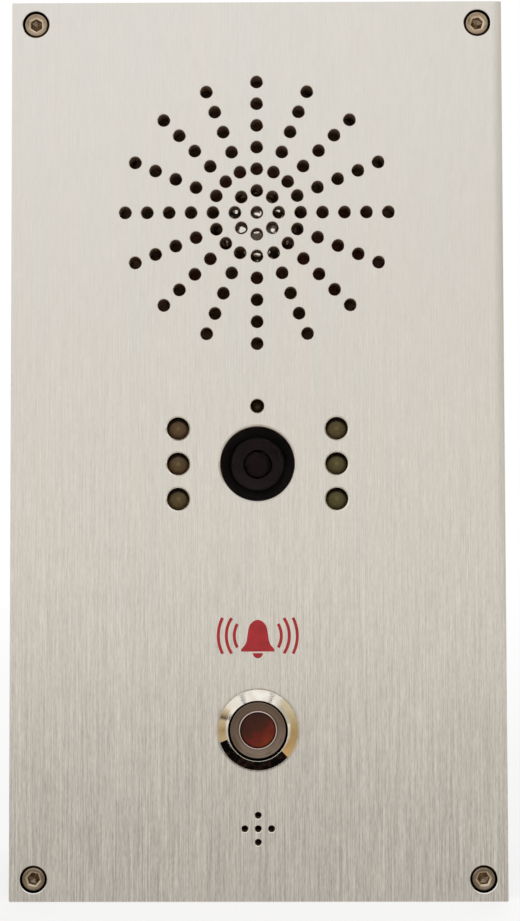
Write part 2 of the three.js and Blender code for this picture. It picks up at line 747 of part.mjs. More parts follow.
/** Contact disc on the end of the stem, which also stops the cap from leaving the barrel. */
function buttonContact() {
  const { contact } = button;
  const contactRadius = stemHoleRadius + button.contactLip;
  return turned([
    [0, contactY], [contactRadius, contactY], [contactRadius, contactY + contact],
    [0, contactY + contact],
  ]);
}

/** Return spring around the stem, between the cap and the barrel's web. */
function buttonSpring() {
  const { wireRadius, turns, stepsPerTurn } = spring;
  const coilRadius = stemHoleRadius + spring.stemGap;
  const startY = capBackY + ease + wireRadius;
  const endY = webFrontY - ease - wireRadius;
  const points = [];
  for (let i = 0; i <= turns * stepsPerTurn; i += 1) {
    const angle = (2 * Math.PI * i) / stepsPerTurn;
    const y = startY + ((endY - startY) * i) / (turns * stepsPerTurn);
    points.push(new THREE.Vector3(coilRadius * Math.cos(angle), y, coilRadius * Math.sin(angle)));
  }
  return new THREE.ExtrudeGeometry(outline(circle(wireRadius, sides.tiny)), {
    steps: turns * stepsPerTurn, extrudePath: new THREE.CatmullRomCurve3(points), bevelEnabled: false,
  });
}

function buttonSeal() {
  return ring(button.barrelRadius + slip, bezelRadius - slip, bezelBackY, plateFrontY);
}

function buttonNut() {
  const hole = circle(button.barrelRadius + slip);
  const nutAcross = 2 * (button.barrelRadius + button.nutLip);
  return slab(outline(hexagon(nutAcross), [hole]), plateBackY, plateBackY + button.nutThickness);
}

/** Moulded block with the fixed contacts, pushed into the rear of the barrel. */
function switchBlockBody() {
  const inside = boreRadius - ease;
  const flange = button.barrelRadius - slip;
  return turned([
    [0, switchFrontY], [inside, switchFrontY], [inside, barrelEndY], [flange, barrelEndY],
    [flange, switchBackY], [0, switchBackY],
  ]);
}

// ---------------------------------------------------------------- microphone and main board

function microphoneCapsule() {
  const { capsuleRadius, capsuleHeight } = microphone;
  return turned([
    [0, boardFrontY - capsuleHeight], [capsuleRadius, boardFrontY - capsuleHeight],
    [capsuleRadius, boardFrontY], [0, boardFrontY],
  ]);
}

/** Rubber sleeve squeezed between the plate and the board, with a port behind the five holes. */
function microphoneBoot() {
  const { capsuleRadius, capsuleHeight, bootWall } = microphone;
  const portRadius = capsuleRadius - microphone.ledge;
  const pocket = capsuleRadius + ease;
  const ledgeY = boardFrontY - capsuleHeight - ease;
  return turned([
    [portRadius, plateBackY], [pocket + bootWall, plateBackY], [pocket + bootWall, boardFrontY],
    [pocket, boardFrontY], [pocket, ledgeY], [portRadius, ledgeY],
  ]);
}

function standoffPlaces() {
  const x = boardHalfWidth - board.holeInset;
  return cornerPlaces().map((corner) => ({
    name: `board_standoff_${corner.name}`,
    x: corner.x * x,
    z: corner.z > 0 ? board.top - board.holeInset : boardBottomZ + board.holeInset,
  }));
}

function mainBoard() {
  const holes = [
    circle(button.barrelRadius + 5 * ease, sides.round, 0, buttonZ),
    ...standoffPlaces().map(({ x, z }) => circle(stud.radius + 2 * slip, sides.small, x, z)),
  ];
  const edge = rectangle(-boardHalfWidth, boardHalfWidth, boardBottomZ, board.top);
  return slab(outline(edge, holes), boardFrontY, boardBackY);
}

/** Hexagonal pillar on the plate with a threaded pin that passes through the board. */
function boardStandoff() {
  const pillar = slab(outline(hexagon(standoff.across)), plateBackY, boardFrontY);
  const pin = slab(
    outline(circle(stud.radius, sides.small)), boardFrontY - 1, boardFrontY + standoff.pinLength,
  );
  return join(pillar, pin);
}

/** Network socket on the back of the board, its mouth facing up. */
function networkJack() {
  const half = jack.width / 2;
  const body = slab(
    outline(rectangle(-half, half, 0, jack.length)), boardBackY, boardBackY + jack.depth,
  );
  const mouth = jack.mouthWidth / 2;
  const cavity = slab(
    outline(rectangle(-mouth, mouth, jack.length - jack.cavity, jack.length + 1)),
    boardBackY + jack.floor, boardBackY + jack.floor + jack.mouthDepth,
  );
  return cut(body, cavity);
}

/** Row of screw terminals for the wires from the wall, with a sloped shoulder above the entries. */
function terminalBlock() {
  const { ways, pitch, width, height, entry } = terminals;
  const length = ways * pitch;
  const half = width / 2;
  const shoulder = height / 3;
  const profile = [
    [-half, 0], [half, 0], [half, height - shoulder], [half - shoulder, height], [-half, height],
  ].map(([x, y]) => new THREE.Vector2(x, y));
  const body = new THREE.ExtrudeGeometry(outline(profile), { depth: length, bevelEnabled: false });
  body.translate(0, 0, -length);
  const entries = [];
  for (let way = 0; way < ways; way += 1) {
    const pocket = new THREE.BoxGeometry(entry, entry, entry);
    pocket.translate(half, entry / 2 + 1, -(way + 0.5) * pitch);
    entries.push(pocket);
  }
  return cut(body, ...entries);
}

// ---------------------------------------------------------------- leads

function speakerLead() {
  const startY = stripY + speakerStrip.thickness + ease + lead.radius;
  const endY = boardBackY + ease + lead.radius;
  const start = [stripX, startY, speakerZ + stripZ];
  const sideX = bracket.width / 2 + 9;
  return tube([
    start,
    [start[0] + 3, startY + 1, start[2] - 5],
    [sideX - 4, startY, speakerZ - flangeRadius],
    [sideX, (startY + endY) / 2, camera.z],
    [sideX, endY + 1, board.top + 6],
    [sideX, endY, board.top - 2],
    [sideX, endY, board.top - 9],
  ], lead.radius, 24);
}

function buttonLead() {
  const backY = switchBackY + ease;
  return tube([
    [3, backY, buttonZ],
    [3, backY + 3, buttonZ],
    [5, backY + 6, buttonZ + 3],
    [10, backY + 5, buttonZ + 10],
    [13, (backY + boardBackY) / 2, buttonZ + 15],
    [14, boardBackY + 3, buttonZ + 17],
    [14, boardBackY + ease, buttonZ + 17],
  ], lead.radius, 18);
}

/** Flat flexible cable from the camera board down to the main board, bent in the Y-Z plane. */
function cameraRibbon() {
  const gap = ease + ribbon.thickness / 2;
  const topY = cameraBoardY + camera.board + gap;
  const lowY = boardBackY + gap;
  const turretFoot = camera.z - camera.turretSide / 2;
  const midZ = (turretFoot + board.top) / 2;
  const route = new THREE.CatmullRomCurve3([
    new THREE.Vector3(0, topY, camera.z - 6),
    new THREE.Vector3(0, topY, turretFoot + 1),
    new THREE.Vector3(0, topY - 1, turretFoot - 2),
    new THREE.Vector3(0, (topY + lowY) / 2, midZ - 2),
    new THREE.Vector3(0, lowY + 0.6, board.top - 4),
    new THREE.Vector3(0, lowY, board.top - 7),
    new THREE.Vector3(0, lowY, board.top - 12),
  ]);
  const count = 16;
  const near = [];
  const far = [];
  for (let i = 0; i <= count; i += 1) {
    const point = route.getPoint(i / count);
    const tangent = route.getTangent(i / count);
    const half = ribbon.thickness / 2;
    near.push(new THREE.Vector2(point.y - tangent.z * half, point.z + tangent.y * half));
    far.push(new THREE.Vector2(point.y + tangent.z * half, point.z - tangent.y * half));
  }
  const strip = new THREE.ExtrudeGeometry(outline([...near, ...far.reverse()]), {
    depth: ribbon.width, bevelEnabled: false,
  });
  strip.rotateX(Math.PI / 2);
  strip.rotateZ(Math.PI / 2);
  return strip;
}

// ---------------------------------------------------------------- assembly

function finish(color, roughness, metalness) {
  return new THREE.MeshStandardMaterial({ color, roughness, metalness, flatShading: true });
}

const brushedMetal = finish(0xcdc7be, 0.38, 1);
const bareSteel = finish(0xb4b4b0, 0.35, 1);
const paintedSteel = finish(0x8d8f90, 0.5, 0.4);
const chrome = finish(0xd8d6d0, 0.12, 1);
const blackPlastic = finish(0x1c1c1d, 0.55, 0);
const rubber = finish(0x242424, 0.85, 0);
const boardGreen = finish(0x1f5a38, 0.5, 0);
const ferrite = finish(0x3a3a3c, 0.6, 0.1);
const paper = finish(0x2a2724, 0.8, 0);
const copper = finish(0xb0703a, 0.35, 1);
const brass = finish(0xc2a052, 0.3, 1);
const lampResin = finish(0x6a6338, 0.15, 0);
const smokedGlass = finish(0x121214, 0.08, 0);
const lensGlass = finish(0x2a3040, 0.05, 0);
const redLens = finish(0x6e2a20, 0.2, 0);
const spiderCloth = finish(0xb48a3c, 0.85, 0);
const greyMoulding = finish(0x55595c, 0.6, 0);
const whiteFlex = finish(0xe6e4dc, 0.5, 0);

const panel = new THREE.Group();

function add(parent, name, geometry, material, position = [0, 0, 0]) {
  const mesh = new THREE.Mesh(geometry, material);
  mesh.name = name;
  mesh.position.set(...position);
  parent.add(mesh);
}

function groupAt(x, z) {
  const group = new THREE.Group();
  group.position.set(x, 0, z);
  panel.add(group);
  return group;
}

add(panel, 'front_plate', frontPlate(), brushedMetal);
add(panel, 'front_gasket', frontGasket(), rubber);
add(panel, 'back_box', backBox(), paintedSteel);
for (const corner of cornerPlaces()) {
  add(panel, `corner_post_${corner.name}`, cornerPost(corner), bareSteel);
  const place = [corner.x * screwX, 0, corner.z * screwZ];
  add(panel, `panel_screw_${corner.name}`, panelScrewBody(), bareSteel, place);
}
add(groupAt(0, grommet.z), 'cable_grommet', cableGrommet(), rubber);

const speakerGroup = groupAt(0, speakerZ);
add(speakerGroup, 'speaker_seal', ring(
  flangeRadius - speakerSeal.width, flangeRadius, plateBackY, speakerY,
), rubber);
add(speakerGroup, 'speaker_basket', speakerBasket(), paintedSteel);
add(speakerGroup, 'speaker_surround', speakerSurround(), rubber);
add(speakerGroup, 'speaker_cone', speakerCone(), paper);
add(speakerGroup, 'speaker_dust_cap', speakerDustCap(), chrome);
add(speakerGroup, 'speaker_voice_coil', speakerVoiceCoil(), copper);
add(speakerGroup, 'speaker_spider', speakerSpider(), spiderCloth);
add(speakerGroup, 'speaker_top_plate', speakerTopPlate(), bareSteel);
add(speakerGroup, 'speaker_magnet', speakerMagnet(), ferrite);
add(speakerGroup, 'speaker_yoke', speakerYoke(), bareSteel);
add(speakerGroup, 'speaker_clamp_ring', speakerClampRing(), bareSteel);
add(speakerGroup, 'speaker_nut_left', studNut(), bareSteel, [-studX, 0, 0]);
add(speakerGroup, 'speaker_nut_right', studNut(), bareSteel, [studX, 0, 0]);
add(speakerGroup, 'speaker_terminal', speakerTerminal(), greyMoulding, [stripX, 0, stripZ]);

const opticsGroup = groupAt(0, camera.z);
add(opticsGroup, 'optics_bracket', opticsBracket(), blackPlastic);
add(opticsGroup, 'camera_window', cameraWindow(), smokedGlass);
add(opticsGroup, 'camera_board', cameraBoard(), boardGreen);
add(opticsGroup, 'lens_holder', lensHolder(), blackPlastic);
add(opticsGroup, 'lens_barrel', lensBarrel(), blackPlastic);
add(opticsGroup, 'front_lens', frontLens(), lensGlass);
add(opticsGroup, 'lamp_board', lampBoardBody(), boardGreen);
for (const { name, x, z } of lampCentres()) {
  add(opticsGroup, name, domedLamp(lamp), lampResin, [x, 0, z - camera.z]);
}
add(opticsGroup, 'light_sensor', domedLamp(sensor), lampResin, [0, 0, sensor.above]);

const buttonGroup = groupAt(0, buttonZ);
add(buttonGroup, 'button_body', buttonBody(), chrome);
add(buttonGroup, 'button_seal', buttonSeal(), rubber);
add(buttonGroup, 'button_nut', buttonNut(), bareSteel);
add(buttonGroup, 'button_cap', buttonCap(), bareSteel);
add(buttonGroup, 'button_lens', buttonLens(), redLens);
add(buttonGroup, 'button_spring', buttonSpring(), bareSteel);
add(buttonGroup, 'button_contact', buttonContact(), brass);
add(buttonGroup, 'switch_block', switchBlockBody(), blackPlastic);

const microphoneGroup = groupAt(0, microphoneZ);
add(microphoneGroup, 'microphone_boot', microphoneBoot(), rubber);
add(microphoneGroup, 'microphone_capsule', microphoneCapsule(), bareSteel);

add(panel, 'main_board', mainBoard(), boardGreen);
for (const { name, x, z } of standoffPlaces()) {
  add(panel, name, boardStandoff(), brass, [x, 0, z]);
}
add(panel, 'network_jack', networkJack(), bareSteel, [jack.x, 0, jack.bottomZ]);
add(panel, 'terminal_block', terminalBlock(), greyMoulding, [terminals.x, boardBackY, terminals.topZ]);

add(panel, 'speaker_lead', speakerLead(), rubber);
add(panel, 'button_lead', buttonLead(), rubber);
add(panel, 'camera_ribbon', cameraRibbon(), whiteFlex, [-ribbon.width / 2, 0, 0]);

export default panel;
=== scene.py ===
"""The looks of a door intercom panel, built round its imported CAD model.

Sizes are written in millimetres and turned into metres where a mesh is made. The panel faces -Y, +X is to
the visitor's right and +Z is up. A contour is a function that gives the corners of an outline in X and Z for
one size: a circle's size is its radius, and any other contour's size is how far it is drawn in. Levels are
(y, size) pairs. A profile is a closed list of (radius, y) corners, turned about an axis along Y.
"""

import math
import random

import bmesh
import bpy
from mathutils import Matrix, Vector
from mathutils.geometry import delaunay_2d_cdt


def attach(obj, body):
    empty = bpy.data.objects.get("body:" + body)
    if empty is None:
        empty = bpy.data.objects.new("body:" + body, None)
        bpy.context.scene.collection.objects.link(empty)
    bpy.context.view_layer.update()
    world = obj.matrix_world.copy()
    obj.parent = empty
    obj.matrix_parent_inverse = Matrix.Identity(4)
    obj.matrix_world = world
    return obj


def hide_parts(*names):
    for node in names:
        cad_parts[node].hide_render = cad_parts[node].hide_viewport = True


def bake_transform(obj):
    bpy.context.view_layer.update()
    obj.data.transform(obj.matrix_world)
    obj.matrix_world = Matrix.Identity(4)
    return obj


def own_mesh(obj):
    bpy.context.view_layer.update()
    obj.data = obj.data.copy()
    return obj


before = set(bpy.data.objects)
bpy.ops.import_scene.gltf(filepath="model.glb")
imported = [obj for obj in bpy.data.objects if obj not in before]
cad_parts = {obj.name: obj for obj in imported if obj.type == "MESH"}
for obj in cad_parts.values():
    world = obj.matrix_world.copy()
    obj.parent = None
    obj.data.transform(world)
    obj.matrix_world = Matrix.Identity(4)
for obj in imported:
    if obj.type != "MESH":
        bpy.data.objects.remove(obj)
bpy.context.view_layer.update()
MM = 0.001
ROUND, FINE = 64, 96
scene = bpy.context.scene
chance = random.Random(7)

# ---------------- sizes, as the CAD model has them

PLATE_X, PLATE_Z = 56.0, 102.0
FRONT, BACK, RIM = -49.5, -45.5, -44.0
BOX_X, BOX_Z, WALL = 55.0, 101.0, 1.5
SCREW_X, SCREW_Z = 50.5, 97.0
CORNERS = {"top_left": (-1, 1), "top_right": (1, 1), "bottom_left": (-1, -1), "bottom_right": (1, -1)}
SPEAKER_Z, SPEAKER_Y = 53.5, -43.5
CAMERA_Z, BUTTON_Z, MIC_Z, GROMMET_Z = -3.8, -63.5, -85.8, -22.0
SPEAKER, CAMERA, BUTTON, MIC = (0.0, SPEAKER_Z), (0.0, CAMERA_Z), (0.0, BUTTON_Z), (0.0, MIC_Z)
GRILLE_HOLE, GRILLE_PITCH, GRILLE_ROWS = 1.42, 5, 6
MIC_HOLE, MIC_PITCH = 0.76, 3
LAMP_X, LAMP_PITCH, LAMP_HOLE = 18.0, 8.0, 2.55
SENSOR_Z, SENSOR_HOLE = CAMERA_Z + 13.1, 1.57
CAMERA_HOLE, BUTTON_HOLE = 8.5, 8.1
M3, M3_PITCH, M3_CLEAR = 1.5, 0.5, 1.7
HEAD_TOP, HEAD_FOOT = -49.3, -46.3
BOARD_FRONT, BOARD_BACK = -36.5, -34.9
LAMP_BOARD_BACK = -38.3
STUD_X = 42.5
WALL_SCREW_X, WALL_SCREW_Z = 38.0, 79.0


# ---------------- mesh helpers

def on_circle(radius, angle, x=0.0, z=0.0):
    return x + radius * math.cos(angle), z + radius * math.sin(angle)


def circle(x=0.0, z=0.0, count=ROUND):
    def at(radius):
        return [on_circle(radius, 2 * math.pi * i / count, x, z) for i in range(count)]
    return at


def rectangle(half_x, half_z, corner=1.0, x=0.0, z=0.0, steps=5):
    def at(inset):
        hx, hz, r = half_x - inset, half_z - inset, max(corner - inset, 0.03)
        points = []
        for sx, sz, start in ((1, 1, 0), (-1, 1, 90), (-1, -1, 180), (1, -1, 270)):
            for k in range(steps + 1):
                a = math.radians(start + 90 * k / steps)
                points.append(on_circle(r, a, x + sx * (hx - r), z + sz * (hz - r)))
        return points
    return at


def polygon(points):
    """A contour of any convex outline, drawn in along its corners' bisectors."""
    def at(inset):
        made = []
        for i, p in enumerate(points):
            a, b, c = Vector(points[i - 1]), Vector(p), Vector(points[(i + 1) % len(points)])
            u, v = (b - a).normalized(), (c - b).normalized()
            n, m = Vector((-u.y, u.x)), Vector((-v.y, v.x))
            made.append(tuple(b + (n + m) * (inset / (1 + n.dot(m)))))
        return made
    return at


def hexagon(across, x=0.0, z=0.0, turn=0.0):
    r = across / math.sqrt(3)
    return polygon([on_circle(r, math.radians(60 * i + turn), x, z) for i in range(6)])


def eased(points, radius, steps=3):
    """A profile with its corners rounded. A corner may carry a radius of its own."""
    made = []
    for i, p in enumerate(points):
        before, after = points[i - 1], points[(i + 1) % len(points)]
        own = p[2] if len(p) > 2 else radius
        b = Vector(p[:2])
        u, v = Vector(before[:2]) - b, Vector(after[:2]) - b
        angle = u.angle(v) if u.length > 1e-6 and v.length > 1e-6 else math.pi
        if own <= 0 or p[0] <= 0 or angle > math.radians(172):
            made.append(tuple(b))
            continue
        reach = min(own / math.tan(angle / 2), 0.45 * u.length, 0.45 * v.length)
        start, end = b + u.normalized() * reach, b + v.normalized() * reach
        for k in range(steps + 1):
            t = k / steps
            made.append(tuple(start * (1 - t) ** 2 + b * (2 * t * (1 - t)) + end * t ** 2))
    return made


def thread(start, end, crest=M3, depth=0.16, pitch=M3_PITCH):
    """Levels of a screw thread between two depths, whose size is its radius."""
    count = int(abs(end - start) / pitch)
    step = (end - start) / (2 * count)
    return [(start + step * k, crest - (depth if k % 2 else 0)) for k in range(2 * count + 1)]


def ring(bm, points, y):
    return [bm.verts.new((x * MM, y * MM, z * MM)) for x, z in points]


def bridge(bm, near, far, material=0):
    """Faces between two rings with as many corners, or between a ring and one point."""
    if len(near) < len(far):
        near, far = far, near
    count = len(near)
    for i in range(count):
        j = (i + 1) % count
        corners = [near[i], near[j], far[0]] if len(far) == 1 else [near[i], near[j], far[j], far[i]]
        bm.faces.new(corners).material_index = material


def loft(bm, contour, levels, materials=0):
    """Rings of a contour at its levels, joined one to the next."""
    rings = [ring(bm, contour(size), y) for y, size in levels]
    for k, (near, far) in enumerate(zip(rings, rings[1:])):
        bridge(bm, near, far, materials if isinstance(materials, int) else materials[k])
    return rings


def cap(bm, outer, holes=(), material=0):
    """A flat face inside a ring, less the holes."""
    if not holes:
        bm.faces.new(outer).material_index = material
        return
    rings = [outer, *holes]
    corners = [v for r in rings for v in r]
    owner = [k for k, r in enumerate(rings) for _ in r]
    edges, start = [], 0
    for r in rings:
        edges += [(start + i, start + (i + 1) % len(r)) for i in range(len(r))]
        start += len(r)
    made = delaunay_2d_cdt([Vector((v.co.x, v.co.z)) / MM for v in corners], edges, [], 1, 1e-6)
    source = [o[0] for o in made[3]]
    for face in made[2]:
        ids = [source[i] for i in face]
        owners = {owner[i] for i in ids}
        if len(owners) == 1 and owners != {0}:
            continue
        bm.faces.new([corners[i] for i in ids]).material_index = material


def block(bm, outer, levels, holes=(), pockets=(), materials=0, face=0, rear=0):
    """A solid from front to back, with holes through it and pockets in its rear face.

    Each hole or pocket is a contour, its levels, and the material of each step between them.
    """
    skins = loft(bm, outer, levels, materials)
    bores = [loft(bm, *hole) for hole in holes]
    wells = [loft(bm, *pocket) for pocket in pockets]
    cap(bm, skins[0], [b[0] for b in bores], face)
    cap(bm, skins[-1], [b[-1] for b in bores] + [w[0] for w in wells], rear)
    for well in wells:
        cap(bm, well[-1], (), rear)


def slab(bm, outer, front, back, edge=0.15, holes=(), material=0):
    """A plain plate with chamfered edges. Its holes are (contour, size) pairs."""
    through = [(c, [(front, s), (back, s)], material) for c, s in holes]
    levels = [(front, edge), (front + edge, 0), (back - edge, 0), (back, edge)]
    block(bm, outer, levels, through, (), material, material, material)


def lathe(bm, profile, x=0.0, z=0.0, count=ROUND, materials=0, arc=None):
    """A profile turned about the axis through X and Z, all round or through one arc in degrees."""
    if arc:
        start, end = (math.radians(a) for a in arc)
        angles = [start + (end - start) * i / count for i in range(count + 1)]
    else:
        angles = [2 * math.pi * i / count for i in range(count)]
    rings = [ring(bm, [on_circle(r, a, x, z) for a in (angles[:1] if r < 1e-6 else angles)], y)
             for r, y in profile]
    for k, near in enumerate(rings):
        far = rings[(k + 1) % len(rings)]
        if len(near) == 1 and len(far) == 1:
            continue
        material = materials if isinstance(materials, int) else materials(k, profile)
        if arc:
            for i in range(count):
                bm.faces.new([near[i], near[i + 1], far[i + 1], far[i]]).material_index = material
        else:
            bridge(bm, near, far, material)
    if arc:
        bm.faces.new([r[0] for r in rings])
        bm.faces.new([r[-1] for r in reversed(rings)])


def smooth_route(points, steps):
    """Catmull-Rom points through a list of places."""
    first, last = Vector(points[0]) * 2 - Vector(points[1]), Vector(points[-1]) * 2 - Vector(points[-2])
    p = [first, *map(Vector, points), last]
    made = []
    for i in range(1, len(p) - 2):
        for k in range(steps):
            t = k / steps
            made.append(0.5 * ((2 * p[i]) + (p[i + 1] - p[i - 1]) * t
                               + (2 * p[i - 1] - 5 * p[i] + 4 * p[i + 1] - p[i + 2]) * t * t
                               + (3 * p[i] - p[i - 1] - 3 * p[i + 1] + p[i + 2]) * t ** 3))
    return [*made, Vector(points[-1])]


def sweep(bm, route, radius, sides=12, strands=1, spread=0.0, lay=8.0):
    """Round strands along a route, each in its own material, twisted about it once every lay millimetres."""
    normal = Vector((0.13, 0.2, 1.0))
    frames, length = [], 0.0
    for i, p in enumerate(route):
        tangent = (route[min(i + 1, len(route) - 1)] - route[max(i - 1, 0)]).normalized()
        normal = (normal - tangent * normal.dot(tangent)).normalized()
        length += (p - route[i - 1]).length if i else 0.0
        frames.append((p, normal.copy(), tangent.cross(normal), length))
    for strand in range(strands):
        rings = []
        for p, u, v, along in frames:
            a = 2 * math.pi * (strand / strands + along / lay)
            centre = p + (u * math.cos(a) + v * math.sin(a)) * spread
            rings.append([bm.verts.new((centre + (u * math.cos(b) + v * math.sin(b)) * radius) * MM)
                          for b in (2 * math.pi * k / sides for k in range(sides))])
        for near, far in zip(rings, rings[1:]):
            bridge(bm, near, far, strand)
        cap(bm, rings[0], (), strand)
        cap(bm, rings[-1], (), strand)


def piece(name, bm, looks, body="panel", stands_for=(), centre=(0.0, 0.0)):
    """An object made of a mesh: smooth between sharp edges, with its place round its own axis as its UV."""
    bmesh.ops.recalc_face_normals(bm, faces=bm.faces)
    around = bm.loops.layers.uv.new("around")
    for face in bm.faces:
        for loop in face.loops:
            co = loop.vert.co
            loop[around].uv = (co.x / MM - centre[0], co.z / MM - centre[1])
    mesh = bpy.data.meshes.new(name)
    bm.to_mesh(mesh)
    bm.free()
    mesh.polygons.foreach_set("use_smooth", [True] * len(mesh.polygons))
    mesh.set_sharp_from_angle(angle=math.radians(30))
    for look in looks if isinstance(looks, list) else [looks]:
        mesh.materials.append(look.material)
    made = bpy.data.objects.new(name, mesh)
    scene.collection.objects.link(made)
    made.modifiers.new("even_normals", "WEIGHTED_NORMAL").keep_sharp = True
    if body:
        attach(made, body)
    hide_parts(*([stands_for] if isinstance(stands_for, str) else stands_for))
    return made


def turned(name, profile, centre, looks, stands_for=(), body="panel", count=ROUND, materials=0):
    """A piece that is one profile turned about its centre."""
    bm = bmesh.new()
    lathe(bm, profile, *centre, count, materials)
    piece(name, bm, looks, body, stands_for, centre)


# ---------------- materials

def tint(red, green, blue):
    """A colour written as it looks on a screen, 0 to 255."""
    shares = (c / 255 for c in (red, green, blue))
    return tuple(((c + 0.055) / 1.055) ** 2.4 if c > 0.04 else c / 12.92 for c in shares)


class Nodes:
    """A node tree and short ways to wire it. A value may be a socket, a number, a vector or a colour."""

    def __init__(self, tree):
        self.tree = tree

    def feed(self, socket, value):
        if isinstance(value, bpy.types.NodeSocket):
            self.tree.links.new(value, socket)
        elif value is not None:
            socket.default_value = value

    def add(self, kind, *values, **props):
        node = self.tree.nodes.new("ShaderNode" + kind)
        for key, value in props.items():
            setattr(node, key, value)
        for socket, value in zip(node.inputs, values):
            self.feed(socket, value)
        return node

    def math(self, operation, *values):
        return self.add("Math", *values, operation=operation).outputs[0]

    def total(self, a, b):
        return self.math("ADD", a, b)

    def product(self, a, b):
        return self.math("MULTIPLY", a, b)

    def spans(self, value, low, high, to_low=0.0, to_high=1.0, **props):
        return self.add("MapRange", value, low, high, to_low, to_high, **props).outputs[0]

    def swing(self, noise, to_low, to_high):
        """The usual range of a noise, stretched from one number to another."""
        return self.spans(noise, 0.3, 0.7, to_low, to_high)

    def mix(self, share, a, b, blend="MIX"):
        node = self.add("Mix", data_type="RGBA", blend_type=blend)
        for index, value in ((0, share), (6, a), (7, b)):
            if isinstance(value, tuple) and len(value) == 3:
                value = (*value, 1.0)
            self.feed(node.inputs[index], value)
        return node.outputs[2]

    def ramp(self, value, *stops):
        node = self.add("ValToRGB", value)
        elements = node.color_ramp.elements
        while len(elements) < len(stops):
            elements.new(0.5)
        for element, (at, colour) in zip(elements, stops):
            element.position = at
            element.color = (*colour, 1.0)
        return node.outputs[0]


class Look(Nodes):
    """A surface's material. Any other socket of its shader is named with _ for each space."""

    def __init__(self, name, colour, rough, metal=0.0, **uniform):
        self.material = bpy.data.materials.new(name)
        self.material.use_nodes = True
        super().__init__(self.material.node_tree)
        self.shader = self.tree.nodes["Principled BSDF"]
        self.paint((*colour, 1.0))
        self.gloss(rough)
        self.feed(self.shader.inputs["Metallic"], metal)
        for socket, value in uniform.items():
            self.feed(self.shader.inputs[socket.replace("_", " ")], value)
        self.place = self.add("TexCoord").outputs["Object"]
        self.normal = None

    def paint(self, colour):
        self.feed(self.shader.inputs["Base Color"], colour)

    def paint_shaded(self, colour, shade):
        """A colour made lighter or darker by a factor."""
        grey = self.add("CombineColor", shade, shade, shade).outputs[0]
        self.paint(self.mix(1.0, colour, grey, "MULTIPLY"))

    def gloss(self, value):
        self.feed(self.shader.inputs["Roughness"], value)

    def bump(self, height, depth, strength=1.0):
        """Relief of a height from 0 to 1, depth millimetres deep."""
        node = self.add("Bump")
        node.inputs["Strength"].default_value = strength
        node.inputs["Distance"].default_value = depth * MM
        self.feed(node.inputs["Height"], height)
        self.feed(node.inputs["Normal"], self.normal)
        self.normal = node.outputs[0]
        self.feed(self.shader.inputs["Normal"], self.normal)

    def noise(self, per_mm, detail=2.0, stretch=(1, 1, 1)):
        """Noise with so many grains to the millimetre, drawn out where stretch is under 1."""
        scaled = self.add("VectorMath", self.place, tuple(1000 * per_mm * s for s in stretch),
                          operation="MULTIPLY").outputs[0]
        node = self.add("TexNoise", scaled)
        node.inputs["Scale"].default_value = 1.0
        node.inputs["Detail"].default_value = detail
        return node.outputs[0]

    def rings(self, radius, per_mm, detail):
        """Noise that changes with the radius only."""
        node = self.add("TexNoise", noise_dimensions="1D")
        self.feed(node.inputs["W"], self.product(radius, per_mm))
        node.inputs["Scale"].default_value = 1.0
        node.inputs["Detail"].default_value = detail
        return node.outputs[0]

    def axes(self):
        return self.add("SeparateXYZ", self.place).outputs

    def around(self):
        """Distance from the piece's own axis, in millimetres, and its UV."""
        uv = self.add("UVMap", uv_map="around").outputs[0]
        return self.add("VectorMath", uv, operation="LENGTH").outputs["Value"], uv


def surface(name, colour, rough, metal=0.0, tone=0.16, patch=0.12, grain=3.0, relief=0.01, spread=0.1,
            stretch=(1, 1, 1), **uniform):
    """A finish whose tone drifts in patches and whose grain shows in its gloss and relief."""
    look = Look(name, colour, rough, metal, **uniform)
    drift = look.noise(patch, 3.0, stretch)
    speck = look.noise(grain, 3.0, stretch)
    look.paint_shaded(colour, look.total(look.swing(drift, 1 - tone, 1 + tone),
                                         look.swing(speck, -0.35 * tone, 0.35 * tone)))
    wear = look.total(look.swing(speck, rough - spread, rough + spread),
                      look.swing(drift, -0.5 * spread, 0.5 * spread))
    look.gloss(look.math("MAXIMUM", wear, 0.02))
    if relief:
        look.bump(speck, relief)
    return look


def turned_metal(name, colour, rough, rings=6.0, relief=0.004, tone=0.12, low_painted_shade=0.0):
    """Metal with the fine rings that a lathe tool leaves. A painted shade darkens it low on the panel."""
    look = Look(name, colour, rough, 1.0)
    grooves = look.rings(look.around()[0], rings, 3.0)
    shade = look.total(look.swing(grooves, 1 - tone, 1 + tone),
                       look.swing(look.noise(0.25), -0.5 * tone, 0.5 * tone))
    # painted shade: the colour darkens towards the bottom of the panel
    if low_painted_shade:
        shade = look.product(shade, look.spans(look.axes()[2], -0.09, -0.03, 1.0 - low_painted_shade, 1.0))
    look.paint_shaded(colour, shade)
    look.gloss(look.spans(grooves, 0.25, 0.75, rough * 0.7, rough * 1.3))
    look.bump(grooves, relief)
    return look


